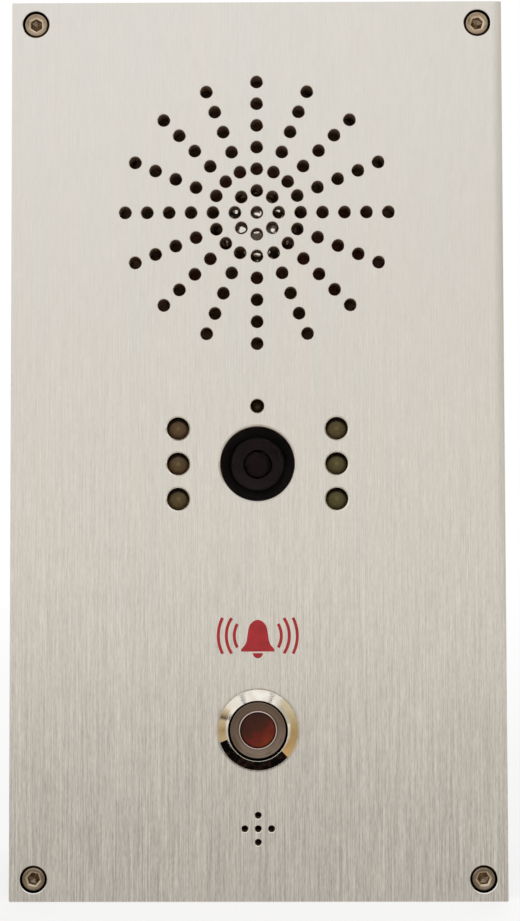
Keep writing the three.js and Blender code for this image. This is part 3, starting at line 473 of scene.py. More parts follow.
def brushed_plate():
    """Satin steel brushed from top to bottom: hairlines of three lengths, more marked lower down."""
    look = Look("plate_brushed", tint(226, 220, 211), 0.34, 1.0, Anisotropic=0.35)
    fine = look.noise(3.5, 0.6, (1.0, 1.0, 0.011))
    broken = look.noise(3.8, 0.6, (1.0, 1.0, 0.05))
    short = look.noise(4.4, 1.0, (1.0, 1.0, 0.16))
    tinted = look.noise(0.6, 2.0, (1.0, 1.0, 0.02))
    specks = look.noise(0.9, 4.0, (1.0, 1.0, 0.25))
    lower = look.math("POWER", look.spans(look.axes()[2], -0.09, 0.06, 1.0, 0.0), 1.5)
    lines = look.spans(fine, 0.25, 0.75, -0.048, 0.048)
    lines = look.total(lines, look.spans(broken, 0.25, 0.75, -0.044, 0.044))
    lines = look.total(lines, look.spans(short, 0.25, 0.75, -0.04, 0.04))
    warm = look.mix(look.spans(tinted, 0.35, 0.65), tint(229, 225, 217), tint(231, 225, 216))
    look.paint_shaded(warm, look.total(look.product(lines, look.spans(lower, 0.0, 1.0, 0.5, 3.0)), 1.0))
    look.gloss(look.total(look.spans(fine, 0.25, 0.75, 0.29, 0.40), look.spans(specks, 0.4, 0.8, 0.0, 0.05)))
    look.bump(look.total(look.product(fine, 0.6), look.product(broken, 0.4)), 0.006, 0.5)
    return look


def lamp_resin():
    """Tinted epoxy with a painted shadow dark across its upper side. The tint drifts from lamp to lamp."""
    look = Look("lamp_resin", tint(88, 74, 46), 0.16, Specular_IOR_Level=0.18)
    radius, uv = look.around()
    cloud = look.noise(0.9, 3.0)
    place = look.axes()
    low_right = look.math("SUBTRACT", look.product(place[0], 17.0), look.product(place[2], 25.0))
    body = look.mix(look.spans(low_right, -0.45, 0.6), tint(94, 70, 46), tint(86, 80, 44))
    body = look.mix(look.swing(cloud, 0.0, 0.55), body, tint(70, 56, 36))
    # painted shadow: an off-centre circle darkens the lamp's upper side
    shifted = look.add("VectorMath", uv, (0.0, 0.75, 0.0), operation="ADD").outputs[0]
    painted_shadow_reach = look.add("VectorMath", shifted, operation="LENGTH").outputs["Value"]
    body = look.mix(look.spans(painted_shadow_reach, 2.1, 2.5, 0.0, 0.93), body, tint(20, 16, 12))
    look.paint(look.mix(look.spans(radius, 0.15, 0.7, 0.12, 0.0), body, tint(172, 164, 96)))
    look.gloss(look.swing(cloud, 0.1, 0.24))
    look.bump(cloud, 0.02)
    return look


def red_lens():
    """Unlit red acrylic with painted light and shade: darker and browner at its upper left, lighter at its
    lower right, and darker at its rim.
    """
    look = Look("red_lens", tint(86, 30, 22), 0.12, Specular_IOR_Level=0.12)
    radius, uv = look.around()
    across, up = look.add("SeparateXYZ", uv).outputs[:2]
    cloud = look.noise(0.4, 3.0)
    # painted light and shade: the colour runs from dark at the upper left to light at the lower right
    painted_light_slant = look.total(look.product(across, 0.6), look.product(up, -0.8))
    painted_light_slant = look.total(painted_light_slant, look.swing(cloud, -1.2, 1.2))
    body = look.ramp(look.spans(painted_light_slant, -4.0, 4.0), (0.0, tint(46, 22, 20)), (0.38, tint(70, 34, 22)),
                     (0.6, tint(100, 34, 24)), (1.0, tint(120, 50, 24)))
    # painted shade: the rim next to the cap's lip is darkened
    look.paint(look.mix(look.spans(radius, 3.5, 4.1, 0.0, 0.8), body, tint(40, 14, 12)))
    look.gloss(look.swing(cloud, 0.08, 0.18))
    look.bump(cloud, 0.02)
    return look


def circuit_board():
    """Green solder mask over faint copper tracks."""
    look = Look("circuit_board", tint(30, 88, 54), 0.32, Coat_Weight=0.25, Coat_Roughness=0.15)
    flat = look.add("VectorMath", look.place, (260.0, 0.0, 260.0), operation="MULTIPLY").outputs[0]
    turn = look.add("SeparateXYZ", flat).outputs
    bricks = look.add("TexBrick", look.add("CombineXYZ", turn[0], turn[2], 0.0).outputs[0])
    bricks.inputs["Scale"].default_value = 1.6
    bricks.inputs["Mortar Size"].default_value = 0.05
    bricks.inputs["Mortar Smooth"].default_value = 0.1
    tracks = bricks.outputs["Fac"]
    drift = look.noise(0.2)
    body = look.mix(look.spans(drift, 0.35, 0.65), tint(24, 78, 48), tint(36, 96, 58))
    look.paint(look.mix(look.product(tracks, 0.55), body, tint(72, 132, 74)))
    look.gloss(look.swing(drift, 0.26, 0.4))
    look.bump(tracks, 0.03)
    return look


def cone_paper():
    """Pressed paper, brown to olive in broad patches, with fibres and faint rings."""
    look = Look("cone_paper", tint(178, 134, 110), 0.7, Specular_IOR_Level=0.3)
    fibres = look.noise(1.6, 5.0)
    patches = look.noise(0.09)
    rings = look.math("SINE", look.product(look.around()[0], 2.4))
    body = look.mix(look.spans(patches, 0.42, 0.58), tint(190, 124, 108), tint(166, 150, 112))
    look.paint(look.mix(look.spans(fibres, 0.35, 0.7, 0.0, 0.5), body, tint(120, 84, 70)))
    look.gloss(look.swing(fibres, 0.55, 0.8))
    look.bump(fibres, 0.05)
    look.bump(rings, 0.05)
    return look


def spider_cloth():
    """Resin-stiffened cloth, a fine plain weave."""
    look = Look("spider_cloth", tint(178, 132, 62), 0.8)
    warp, weft = (look.math("SINE", look.product(look.axes()[axis], 9000.0)) for axis in (0, 2))
    weave = look.product(warp, weft)
    drift = look.noise(0.3, 3.0)
    body = look.mix(look.swing(drift, 0.0, 1.0), tint(160, 114, 50), tint(192, 148, 76))
    look.paint(look.mix(look.spans(weave, -0.2, 1.0, 0.0, 0.4), body, tint(104, 70, 28)))
    look.gloss(look.swing(drift, 0.7, 0.9))
    look.bump(weave, 0.08)
    return look


def copper_winding():
    """Enamelled wire wound in fine turns along the axis."""
    look = Look("copper_winding", tint(198, 124, 66), 0.3, 1.0)
    turns = look.math("SINE", look.product(look.axes()[1], 31400.0))
    drift = look.noise(0.5)
    body = look.mix(look.swing(drift, 0.0, 1.0), tint(180, 104, 52), tint(212, 142, 84))
    # painted shade: the grooves between the turns are coloured dark
    look.paint(look.mix(look.spans(turns, -1.0, 0.0, 0.6, 0.0), body, tint(84, 44, 20)))
    look.gloss(look.swing(drift, 0.22, 0.42))
    look.bump(turns, 0.05)
    return look


def powder_coat():
    """Baked powder paint: orange-peel relief, a fine fleck, faint clouds and a few rubbed marks."""
    look = Look("powder_coat", tint(146, 148, 149), 0.46)
    peel = look.noise(1.5)
    fleck = look.noise(5.5)
    clouds = look.noise(0.035, 3.0)
    rubs = look.noise(0.09, 5.0, (1.0, 1.0, 0.35))
    body = look.mix(look.spans(clouds, 0.35, 0.65), tint(143, 145, 146), tint(149, 150, 150))
    body = look.mix(look.spans(fleck, 0.45, 0.75, 0.0, 0.6), body, tint(112, 116, 120))
    look.paint(look.mix(look.spans(rubs, 0.62, 0.74, 0.0, 0.35), body, tint(172, 172, 169)))
    look.gloss(look.total(look.swing(peel, 0.36, 0.5), look.spans(rubs, 0.6, 0.74, 0.0, 0.16)))
    look.bump(peel, 0.09)
    look.bump(fleck, 0.01)
    return look


def polished_foil():
    """Bright pressed foil, a little uneven, so that what it mirrors breaks up."""
    look = Look("dust_cap_polished", tint(236, 231, 222), 0.06, 1.0)
    dents = look.noise(0.42)
    scuffs = look.noise(2.4, 3.0)
    look.paint(look.mix(look.spans(scuffs, 0.35, 0.7), tint(240, 235, 226), tint(222, 214, 202)))
    look.gloss(look.swing(scuffs, 0.03, 0.10))
    look.bump(dents, 0.11)
    return look


def smoked_acrylic():
    """Lightly tinted acrylic, with a faint haze and wipe marks. It looks black over a dark inside."""
    look = Look("smoked_acrylic", tint(196, 182, 184), 0.02, IOR=1.09, Transmission_Weight=1.0)
    haze = look.noise(0.35, 4.0)
    look.paint(look.mix(look.spans(haze, 0.35, 0.65), tint(190, 178, 180), tint(202, 186, 188)))
    look.gloss(look.swing(haze, 0.0, 0.05))
    look.bump(haze, 0.002, 0.3)
    return look


def chrome():
    """Polished plating with faint polishing rings and the odd smear."""
    look = Look("chrome_bezel", tint(222, 214, 202), 0.07, 1.0)
    smear = look.noise(0.5, 3.0)
    look.paint(look.mix(look.spans(smear, 0.35, 0.7), tint(243, 237, 226), tint(226, 215, 198)))
    look.gloss(look.spans(smear, 0.3, 0.75, 0.04, 0.13))
    look.bump(look.rings(look.around()[0], 45.0, 2.0), 0.002)
    return look


PLATE = brushed_plate()
CUT_EDGE = surface("cut_edge", tint(242, 238, 229), 0.18, 1.0, tone=0.06, patch=0.5, grain=6.0, relief=0.003,
                   spread=0.05)
# painted shade: the hole walls are coloured darker and browner than the plate; their roughness is the drilled
# finish
DRILLED = surface("drilled_wall_painted_shade", tint(142, 118, 98), 0.58, 0.2, tone=0.2, patch=0.8, grain=5.0)
# painted shade: the screw pockets and the bezel's bore are coloured dark
RECESS = surface("screw_recess_painted_shade", tint(66, 58, 50), 0.5, 1.0, tone=0.25, patch=0.8, grain=5.0)
# the screws and the socket rims carry a painted shade low on the panel
SCREW = turned_metal("screw_stainless", tint(168, 149, 127), 0.18, 5.0, 0.012, tone=0.3, low_painted_shade=0.4)
# painted highlight: the socket's rim is a lighter copy of the screw's metal
SOCKET_RIM = turned_metal("socket_rim_painted_highlight", tint(210, 190, 162), 0.22, 3.0, 0.02, tone=0.3, low_painted_shade=0.2)
SOCKET = turned_metal("socket_stainless", tint(158, 140, 120), 0.22, 3.0, 0.02, tone=0.3)
STEEL = surface("zinc_plated", tint(196, 196, 192), 0.34, 1.0, tone=0.12, patch=0.3, grain=2.5, relief=0.006)
CHROME = chrome()
CAP_METAL = turned_metal("cap_metal", tint(124, 107, 94), 0.24, 4.0, 0.006, tone=0.2)
# painted highlight: the lip round the red lens is a lighter, glossier copy of the cap's metal
CAP_LIP = turned_metal("cap_lip_painted_highlight", tint(202, 186, 176), 0.16, 5.0, 0.003, tone=0.08)
RED_LENS = red_lens()
RUBBER = surface("black_rubber", tint(38, 38, 38), 0.78, tone=0.2, grain=5.0, relief=0.02,
                 Specular_IOR_Level=0.3)
FOAM = surface("open_foam", tint(34, 34, 35), 0.92, tone=0.4, grain=2.2, relief=0.25, Specular_IOR_Level=0.15)
ROLL = surface("roll_cloth", tint(150, 116, 94), 0.7, tone=0.2, grain=4.0, relief=0.02)
BOX_PAINT = powder_coat()
BASKET_PAINT = surface("basket_paint", tint(44, 44, 46), 0.36, tone=0.15, relief=0.012)
CONE = cone_paper()
DUST_CAP = polished_foil()
COPPER = copper_winding()
FORMER = surface("coil_former", tint(142, 100, 60), 0.5, tone=0.15, grain=4.0, relief=0.006)
SPIDER = spider_cloth()
FERRITE = surface("ferrite", tint(50, 50, 53), 0.62, tone=0.2, grain=2.6, relief=0.03)
BLACK_PLASTIC = surface("black_moulding", tint(30, 30, 31), 0.46, tone=0.18, grain=4.0, relief=0.02)
BRACKET = surface("bracket_moulding", tint(62, 57, 56), 0.42, tone=0.18, grain=4.0, relief=0.02)
BARREL_BLACK = surface("barrel_black", tint(25, 20, 21), 0.32, tone=0.2, relief=0.006, spread=0.08)
WINDOW = smoked_acrylic()
LENS_GLASS = surface("coated_glass", tint(34, 18, 22), 0.05, tone=0.3, patch=0.4, grain=1.0, relief=0,
                     spread=0.02, Specular_IOR_Level=0.3)
BOARD = circuit_board()
LAMP = lamp_resin()
BRASS = turned_metal("turned_brass", tint(206, 172, 96), 0.26, 4.0, 0.006)
CAN = turned_metal("drawn_can", tint(196, 196, 193), 0.3, 2.0)
FELT = surface("capsule_felt", tint(140, 118, 96), 0.95, tone=0.4, grain=6.0, relief=0.08,
               Specular_IOR_Level=0.1)
TINNED = surface("tinned_shield", tint(200, 200, 198), 0.3, 1.0, tone=0.1, patch=0.4, grain=1.8, relief=0.008)
GREY_MOULDING = surface("grey_moulding", tint(92, 98, 101), 0.5, tone=0.08, grain=4.0, relief=0.015)
SHEATH = surface("lead_black", tint(30, 30, 30), 0.42, tone=0.15)
SHEATH_RED = surface("lead_red", tint(150, 30, 26), 0.4, tone=0.12)
FLEX = surface("flat_flex", tint(226, 224, 216), 0.4, tone=0.06, grain=1.5, stretch=(9, 1, 0.05))
CHIP = surface("chip_epoxy", tint(30, 30, 32), 0.55, tone=0.2, grain=5.0, relief=0.012)
SOLDER = surface("solder", tint(190, 192, 194), 0.26, 1.0, tone=0.15, patch=1.0)
CERAMIC = surface("ceramic_chip", tint(150, 124, 92), 0.5, tone=0.15, patch=0.6, grain=4.0, relief=0.008)
PRINT = surface("red_print", tint(166, 40, 44), 0.55, tone=0.14, patch=0.5, grain=4.0, relief=0.006,
                Specular_IOR_Level=0.35)


# ---------------- front plate, gasket and screws

SCREWS = {name: (sx * SCREW_X, sz * SCREW_Z) for name, (sx, sz) in CORNERS.items()}
LAMP_ROWS = (("top", 1), ("middle", 0), ("bottom", -1))
LAMPS = {f"lamp_{side}_{name}": (sx * LAMP_X, CAMERA_Z + row * LAMP_PITCH)
         for side, sx in (("left", -1), ("right", 1)) for name, row in LAMP_ROWS}


def bore(radius, x, z, edge, count):
    """A drilled hole through the plate, its edges broken by a small countersink."""
    levels = [(FRONT, radius + edge), (FRONT + edge, radius), (BACK - 0.1, radius), (BACK, radius + 0.1)]
    return circle(x, z, count), levels, [1, 2, 2]


holes = [bore(GRILLE_HOLE, *SPEAKER, 0.13, 28)]
for row in range(1, GRILLE_ROWS + 1):
    count = 8 if row == 1 else 16
    for i in range(count):
        place = on_circle(GRILLE_PITCH * row, 2 * math.pi * i / count, *SPEAKER)
        holes.append(bore(GRILLE_HOLE, *place, 0.13, 28))
for x, z in ((0, 0), (1, 0), (-1, 0), (0, 1), (0, -1)):
    holes.append(bore(MIC_HOLE, MIC_PITCH * x, MIC_Z + MIC_PITCH * z, 0.12, 20))
holes += [bore(LAMP_HOLE, x, z, 0.32, 48) for x, z in LAMPS.values()]
holes += [bore(SENSOR_HOLE, 0, SENSOR_Z, 0.2, 32), bore(CAMERA_HOLE, *CAMERA, 0.38, FINE),
          bore(BUTTON_HOLE, *BUTTON, 0.1, ROUND)]
counterbore = [(FRONT, 3.2), (FRONT + 0.15, 3.05), (HEAD_FOOT, 3.05), (HEAD_FOOT, M3_CLEAR),
               (BACK, M3_CLEAR)]
holes += [(circle(x, z, 48), counterbore, [1, 3, 3, 3]) for x, z in SCREWS.values()]
stud = [(BACK, 2.1), (BACK + 0.25, 1.65), (BACK + 0.6, M3), *thread(-44.2, -38.0), (-37.5, 1.2)]
studs = [(circle(sx * STUD_X, SPEAKER_Z, 24), stud, 1) for sx in (-1, 1)]


def plate_outline(drawn_in):
    """The plate's outline. Its right edge is ground off further than the others."""
    points = rectangle(PLATE_X, PLATE_Z, 0.25, steps=2)(drawn_in)
    return [(x - 8 * drawn_in if x > 0 else x, z) for x, z in points]


bm = bmesh.new()
block(bm, plate_outline, [(FRONT, 0.12), (FRONT + 0.3, 0), (BACK, 0)], holes, studs)
piece("front_plate_brushed", bm, [PLATE, CUT_EDGE, DRILLED, RECESS],
      stands_for="front_plate")

bm = bmesh.new()
inner = polygon([(50, -86), (50, 86), (40, 96), (-40, 96), (-50, 86), (-50, -86), (-40, -96), (40, -96)])
slab(bm, rectangle(BOX_X, BOX_Z, 1.0), BACK, RIM, 0.2,
     [(inner, 0.0), *((circle(x, z, 24), M3_CLEAR) for x, z in SCREWS.values())])
piece("gasket_between_plate_and_box", bm, RUBBER, stands_for="front_gasket")

for turn, (corner, (x, z)) in zip((30, 12, 47, 5), SCREWS.items()):
    bm = bmesh.new()
    body = loft(bm, circle(x, z, 48), [
        (HEAD_TOP, 2.2), (-49.25, 2.42), (-49.12, 2.6), (-48.9, 2.71), (-48.6, 2.74), (HEAD_FOOT, 2.74),
        (HEAD_FOOT, M3), *thread(-46.0, -37.8, depth=0.17), (-37.3, 1.1)])
    socket = loft(bm, hexagon(2.5, x, z, turn), [(-49.12, -0.4), (-48.8, 0), (-48.2, 0), (-47.9, 0.25)],
                  [2, 1, 1])
    cap(bm, body[0], [socket[0]])
    bridge(bm, socket[-1], ring(bm, [(x, z)], -47.2), 1)
    cap(bm, body[-1])
    # straight knurl: the head's side is pressed into fine ridges
    for upper, lower in zip(body[4][1::2], body[5][1::2]):
        away = Vector((lower.co.x - x * MM, 0, lower.co.z - z * MM)) * 0.035
        upper.co -= away
        lower.co -= away
    piece(f"cap_screw_{corner}", bm, [SCREW, SOCKET, SOCKET_RIM],
          stands_for=f"panel_screw_{corner}", centre=(x, z))

# a plain bell with sound arcs, printed where the photo has words
SIGN_Z, ARC_WIDTH = -43.2, 0.68
half = [(0.45, 4.1), (1.15, 3.75), (1.75, 3.1), (2.1, 2.2), (2.3, 0.9), (2.5, -0.5), (2.85, -1.4),
        (3.4, -2.05), (3.75, -2.45), (3.75, -2.95)]
shapes = [[*half[::-1], (0, 4.2), *((-x, z) for x, z in half)]]
shapes.append([on_circle(1.15, math.radians(180 + 15 * k), 0, -3.3) for k in range(13)])
for side in (0, 180):
    for r, reach in ((5.3, 30), (7.1, 34), (8.9, 27)):
        angles = [math.radians(side + reach * (k / 8 - 1)) for k in range(17)]
        shapes.append([on_circle(r - ARC_WIDTH / 2, a, 0, 0.6) for a in angles]
                      + [on_circle(r + ARC_WIDTH / 2, a, 0, 0.6) for a in angles[::-1]])
bm = bmesh.new()
for shape in shapes:
    corners = [(x, SIGN_Z + z) for x, z in shape]
    area = sum(a[0] * b[1] - b[0] * a[1] for a, b in zip(corners, corners[1:] + corners[:1]))
    outline = polygon(corners if area > 0 else corners[::-1])
    rings = loft(bm, outline, [(FRONT - 0.035, 0.03), (FRONT - 0.02, 0.0), (FRONT, 0.0)])
    cap(bm, rings[0])
    cap(bm, rings[-1])
piece("bell_sign_print", bm, PRINT)

# ---------------- wall box

def box_outline(inset):
    """The folded box seen from the back: at each corner the side flap meets the top flap in a narrow seam."""
    points = rectangle(BOX_X, BOX_Z, 1.5)(inset)
    made = []
    for i, p in enumerate(points):
        made.append(p)
        q = points[(i + 1) % len(points)]
        if abs(p[1] - q[1]) < 1e-6 and abs(p[0] - q[0]) > BOX_X:
            way = 1 if q[0] > p[0] else -1
            inward = -1 if p[1] > 0 else 1
            for start, direction in ((p, way), (q, -way)):
                seam = [(start[0] + direction * d, start[1] + inward * sink)
                        for d, sink in ((0.5, 0), (0.66, 0.3), (0.82, 0))]
                made += seam if direction == way else seam[::-1]
    return made


def fold(radius, y, steps=5):
    """Levels of an edge folded over towards the wall."""
    return [(y - radius + radius * math.sin(a), radius * (1 - math.cos(a)))
            for a in (math.pi / 2 * k / steps for k in range(steps + 1))]


bm = bmesh.new()
outside = loft(bm, box_outline, [(RIM, 0.12), (RIM + 0.12, 0), *fold(2.0, 0.0)])
inside = loft(bm, rectangle(BOX_X - WALL, BOX_Z - WALL, 0.6),
              [(RIM, -0.12), (RIM + 0.12, 0), *fold(0.6, -WALL, 3)])
through = [(circle(0, GROMMET_Z), 9.0)]
through += [(circle(sx * WALL_SCREW_X, sz * WALL_SCREW_Z, 32), 2.25) for sx, sz in CORNERS.values()]
bores = [loft(bm, c, [(-WALL, r + 0.15), (-WALL + 0.15, r), (-0.15, r), (0, r + 0.15)]) for c, r in through]
# knock-outs: discs held by a thin pressed ring, which the fitter punches out for other cable routes
knock_outs = [loft(bm, circle(x, z, 48), [(0, r + 0.35), (-0.35, r + 0.15), (-0.35, r - 0.15), (0, r - 0.35)])
              for x, z, r in ((0, 52, 10), (0, -62, 10), (-30, 20, 7), (30, 20, 7))]
cap(bm, outside[0], [inside[0]])
cap(bm, inside[-1], [b[0] for b in bores])
cap(bm, outside[-1], [b[-1] for b in bores] + [k[0] for k in knock_outs])
for knock_out in knock_outs:
    cap(bm, knock_out[-1])
piece("back_box_folded", bm, BOX_PAINT, stands_for="back_box")


def on_wall(bm, profiles, count, wall, y, along):
    """Profiles turned about an axis that stands on a side wall of the box. Their y is the depth into it."""
    start = len(bm.verts)
    for profile in profiles:
        lathe(bm, profile, count=count)
    bm.verts.ensure_lookup_table()
    side = 1 if wall in ("right", "top") else -1
    for v in bm.verts[start:]:
        a, depth, b = v.co
        if wall in ("left", "right"):
            v.co = Vector((side * (BOX_X * MM - depth), y * MM + a, along * MM + b))
        else:
            v.co = Vector((along * MM + b, y * MM + a, side * (BOX_Z * MM - depth)))


weld = [(0, 0.05), (0, -0.04), (1.1, -0.02), (1.6, -0.26), (2.0, -0.26), (2.4, 0.0), (2.4, 0.05)]
bm = bmesh.new()
for wall, reach in (("left", 95.5), ("right", 95.5), ("top", 49.5), ("bottom", 49.5)):
    for y in (-40.5, -35.5):
        for side in (-1, 1):
            on_wall(bm, [weld], 24, wall, y, side * reach)
piece("box_spot_welds", bm, BOX_PAINT)
ring_and_disc = [eased([(9.4, 0.05), (9.4, -0.22), (10.3, -0.22), (10.3, 0.05)], 0.15),
                 eased([(0, 0.05), (0, -0.1), (8.9, -0.1), (9.1, 0.05)], 0.05)]
bm = bmesh.new()
for wall, along in (("left", 45), ("left", -45), ("right", 45), ("right", -45), ("top", 0), ("bottom", 0),
                    ("bottom", 26), ("bottom", -26)):
    on_wall(bm, ring_and_disc, 48, wall, -20, along)
piece("box_side_knock_outs", bm, BOX_PAINT)

grommet = [(6, -0.02, 0.5), (8.7, -0.02, 0.3), (8.7, -WALL, 0), (11.5, -WALL, 0.25), (11.5, -3, 0.7),
           (6, -3, 0.7)]
turned("grommet_rubber", eased(grommet, 0.3, 5), (0, GROMMET_Z), RUBBER, "cable_grommet")

# ---------------- speaker

CONE_R, CONE_FOOT, CONE_SKIN = 28.4, 10.0, 0.5
RIM_Y, NECK_Y, SPIDER_Y = -41.5, -32.5, -30.9
CAP_Y, CAP_RISE, CAP_R = -38.31, 4.2, 12.5

foam = [(33, BACK), (38.5, BACK), (38.5, SPEAKER_Y), (33, SPEAKER_Y)]
turned("speaker_foam_seal", eased(foam, 0.5), SPEAKER, FOAM, "speaker_seal")


def roll(radius, angle):
    return CONE_R + 0.25 + 1.5 + radius * math.cos(angle), RIM_Y - 0.25 - radius * math.sin(angle)


arcs = [math.pi * i / 12 for i in range(13)]
surround = [(34.25, RIM_Y), (34.25, RIM_Y - 0.5), *(roll(1.75, a) for a in arcs[1:-1]), (27.2, RIM_Y - 0.5),
            (27.2, RIM_Y), *(roll(1.25, a) for a in arcs[-2:0:-1])]
waves = [(11 + 7 * i / 24, SPIDER_Y - 0.8 * abs(math.sin(math.pi * i / 12))) for i in range(25)]
spider = [(CONE_FOOT, SPIDER_Y), *waves, (21, SPIDER_Y)]
spider += [(r, y + 0.4) for r, y in reversed(spider)]
SECTORS, SECTOR = 12, 30
# each sector is the profile turned through its own arc, so together they follow the cone all the way round
for name, profile, near, far, look, slot in (("surround", surround, 28.0, 32.0, ROLL, "rubber"),
                                             ("spider", spider, 11.0, 18.0, SPIDER, "spider_cloth")):
    for k in range(SECTORS):
        bm = bmesh.new()
        lathe(bm, profile, *SPEAKER, count=6, arc=(SECTOR * k, SECTOR * k + SECTOR))
        made = piece(f"{name}_sector_{k + 1:02d}", bm, look, None, f"speaker_{name}", SPEAKER)
        middle = math.radians(SECTOR * k + SECTOR / 2)
        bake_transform(made)

cone = [(CONE_R, RIM_Y), (27.2, RIM_Y), (CONE_FOOT, NECK_Y), (CONE_FOOT, NECK_Y + CONE_SKIN),
        (27.2, RIM_Y + CONE_SKIN), (CONE_R, RIM_Y + CONE_SKIN)]
turned("cone_pressed_paper", eased(cone, 0.15), SPEAKER, CONE, "speaker_cone",
       "speaker_diaphragm", FINE)
# a flat crown that turns down more steeply at its edge
dome = [(CAP_R * t, CAP_Y + CAP_RISE * (0.26 * t ** 2 + 0.74 * t ** 5)) for t in (k / 24 for k in range(25))]
dome += [(max(r - 0.15, 0), y + 0.35) for r, y in reversed(dome)]
turned("dust_cap_polished", dome, SPEAKER, DUST_CAP, "speaker_dust_cap",
       "speaker_diaphragm", FINE)
wire_r = 10.4
coil = [(9.4, -33.0), (9.9, -33.0), (9.9, -27.5), (wire_r, -27.5), (wire_r, -22.5), (9.4, -22.5)]
turned("voice_coil_wound", eased(coil, 0.08), SPEAKER, [FORMER, COPPER], "speaker_voice_coil",
       "speaker_diaphragm", materials=lambda k, p: 1 if abs(p[k][0] - wire_r) < 0.05 else 0)

top_plate = [(10.9, -26.5), (22, -26.5), (22, -23.5), (10.9, -23.5)]
turned("motor_top_plate", eased(top_plate, 0.3), SPEAKER, STEEL, "speaker_top_plate")
magnet = [(14, -23.5), (24.5, -23.5, 0.8), (24.5, -16.5, 0.8), (14, -16.5)]
turned("ring_magnet", eased(magnet, 0.3), SPEAKER, FERRITE, "speaker_magnet")
yoke = [(0, -27), (8.9, -27, 0.5), (8.9, -16.5), (22, -16.5), (22, -13.5, 0.7), (4.2, -13.5, 0.6),
        (3.2, -14.6, 0.3), (0, -14.6)]
turned("yoke_with_pole", eased(yoke, 0.3), SPEAKER, STEEL, "speaker_yoke")

for side, sx in (("left", -1), ("right", 1)):
    bm = bmesh.new()
    x = sx * STUD_X
    slab(bm, hexagon(5.5, x, SPEAKER_Z, 10 * sx), -41.0, -38.6, 0.3, [(circle(x, SPEAKER_Z, 24), 1.68)])
    piece(f"stud_nut_{side}", bm, STEEL, stands_for=f"speaker_nut_{side}")

strip = math.radians(315)
strip_x, strip_z = on_circle(23.5, strip, *SPEAKER)


def on_strip(along, across):
    """A place on the terminal strip, from its middle: along the speaker's rim, across towards its axis."""
    return (strip_x + across * math.cos(strip) - along * math.sin(strip),
            strip_z + across * math.sin(strip) + along * math.cos(strip))


bm = bmesh.new()
corners = [on_strip(*p) for p in ((-4.5, 3), (-4.5, -3), (4.5, -3), (4.5, 3))]
slab(bm, polygon(corners[::-1]), -29.5, -28.3, 0.12)
piece("terminal_strip", bm, GREY_MOULDING, stands_for="speaker_terminal")
rivet = [(0, -28.35), (1.0, -28.35), (1.0, -27.9, 0.3), (0.45, -27.75), (0.4, -28.0), (0, -28.0)]
bm = bmesh.new()
for along in (-2.7, 2.7):
    lathe(bm, eased(rivet, 0.05), *on_strip(along, 1.6), 24)
    corners = [on_strip(along + a, b) for a, b in ((-0.9, 0.2), (-0.9, -2.7), (0.9, -2.7), (0.9, 0.2))]
    slab(bm, polygon(corners[::-1]), -28.3, -28.0, 0.05)
piece("terminal_rivets_and_lugs", bm, BRASS)

# ---------------- camera, lamps and light sensor

window = [(0, BACK), (11, BACK, 0.12), (11, -43.5, 0.12), (0, -43.5)]
turned("window_smoked_acrylic", eased(window, 0.1), CAMERA, WINDOW, "camera_window",
       count=FINE)
baffle = [(5.15 - 0.29 * k, -43.1 + 0.2 * k + d, 0.02) for k in range(6) for d in (0, 0.2)]
barrel = [(6.15, -43.2, 0.2), (5.3, -43.2, 0.12), *baffle, (3.4, -41.9), (3.4, -39.5), (2.5, -39.5),
          (2.5, -31), (6.0, -31), *((r, y, 0) for y, r in thread(-31.6, -38.6, 6.0, 0.2)), (6.0, -39.2),
          (6.15, -39.2)]
turned("lens_barrel_threaded", eased(barrel, 0.08), CAMERA, BARREL_BLACK, "lens_barrel",
       count=FINE)
# a sloping ring fills the gap round the barrel
shade = [(8.3, -43.2), (8.85, -43.2), (8.85, -41.2), (6.35, -40.9), (6.35, -41.4)]
turned("lens_shade_ring", eased(shade, 0.12), CAMERA, BLACK_PLASTIC, count=FINE)
QUARTER = [math.pi / 2 * k / 10 for k in range(11)]
glass = [(3.28 * math.sin(a), -41.6 - math.cos(a)) for a in QUARTER]
turned("front_lens_coated", [*glass, (3.28, -39.5), (0, -39.5)], CAMERA, LENS_GLASS,
       "front_lens")
sleeve = [(6.12, -36), (7.3, -36, 0.3), (7.3, -27), (6.12, -27)]
turned("lens_holder_sleeve", eased(sleeve, 0.1), CAMERA, BLACK_PLASTIC, "lens_holder")


def led(name, node, radius, tip, lip, x, z):
    """A lamp moulded in resin with a low round head and a flange at its foot."""
    head = [(radius * math.sin(a), tip + 0.4 * radius * (1 - math.cos(a))) for a in QUARTER]
    wide = radius + lip
    flange = [(radius, -41.0), (wide, -40.9), (wide, -40.0), (wide - 0.1, -39.9), (0, -39.9)]
    turned(name, head + flange, (x, z), LAMP, node, count=48)


for node, (x, z) in LAMPS.items():
    led(f"resin_{node}", node, 2.5, -48.5, 0.45, x, z)
led("resin_light_sensor", "light_sensor", 1.5, -45.2, 0.1, 0, SENSOR_Z)

# ---------------- call button

BORE_R, STEM_R, STEM_END = 6.7, 2.8, -37.7
bezel = [(BORE_R, -51.78, 0.02), (6.76, -51.8, 0.02), (8.96, -50.72, 0.12), (9.0, -50.0, 0.1), (8.0, -50.0),
         (8.0, -49.3), *((r, y, 0) for y, r in thread(-49.0, -28.0, 8.0, 0.35, 1.0)), (7.7, -27.5),
         (BORE_R, -27.5), (BORE_R, -38.0), (3.3, -38.0), (3.3, -40.0), (BORE_R, -40.0)]
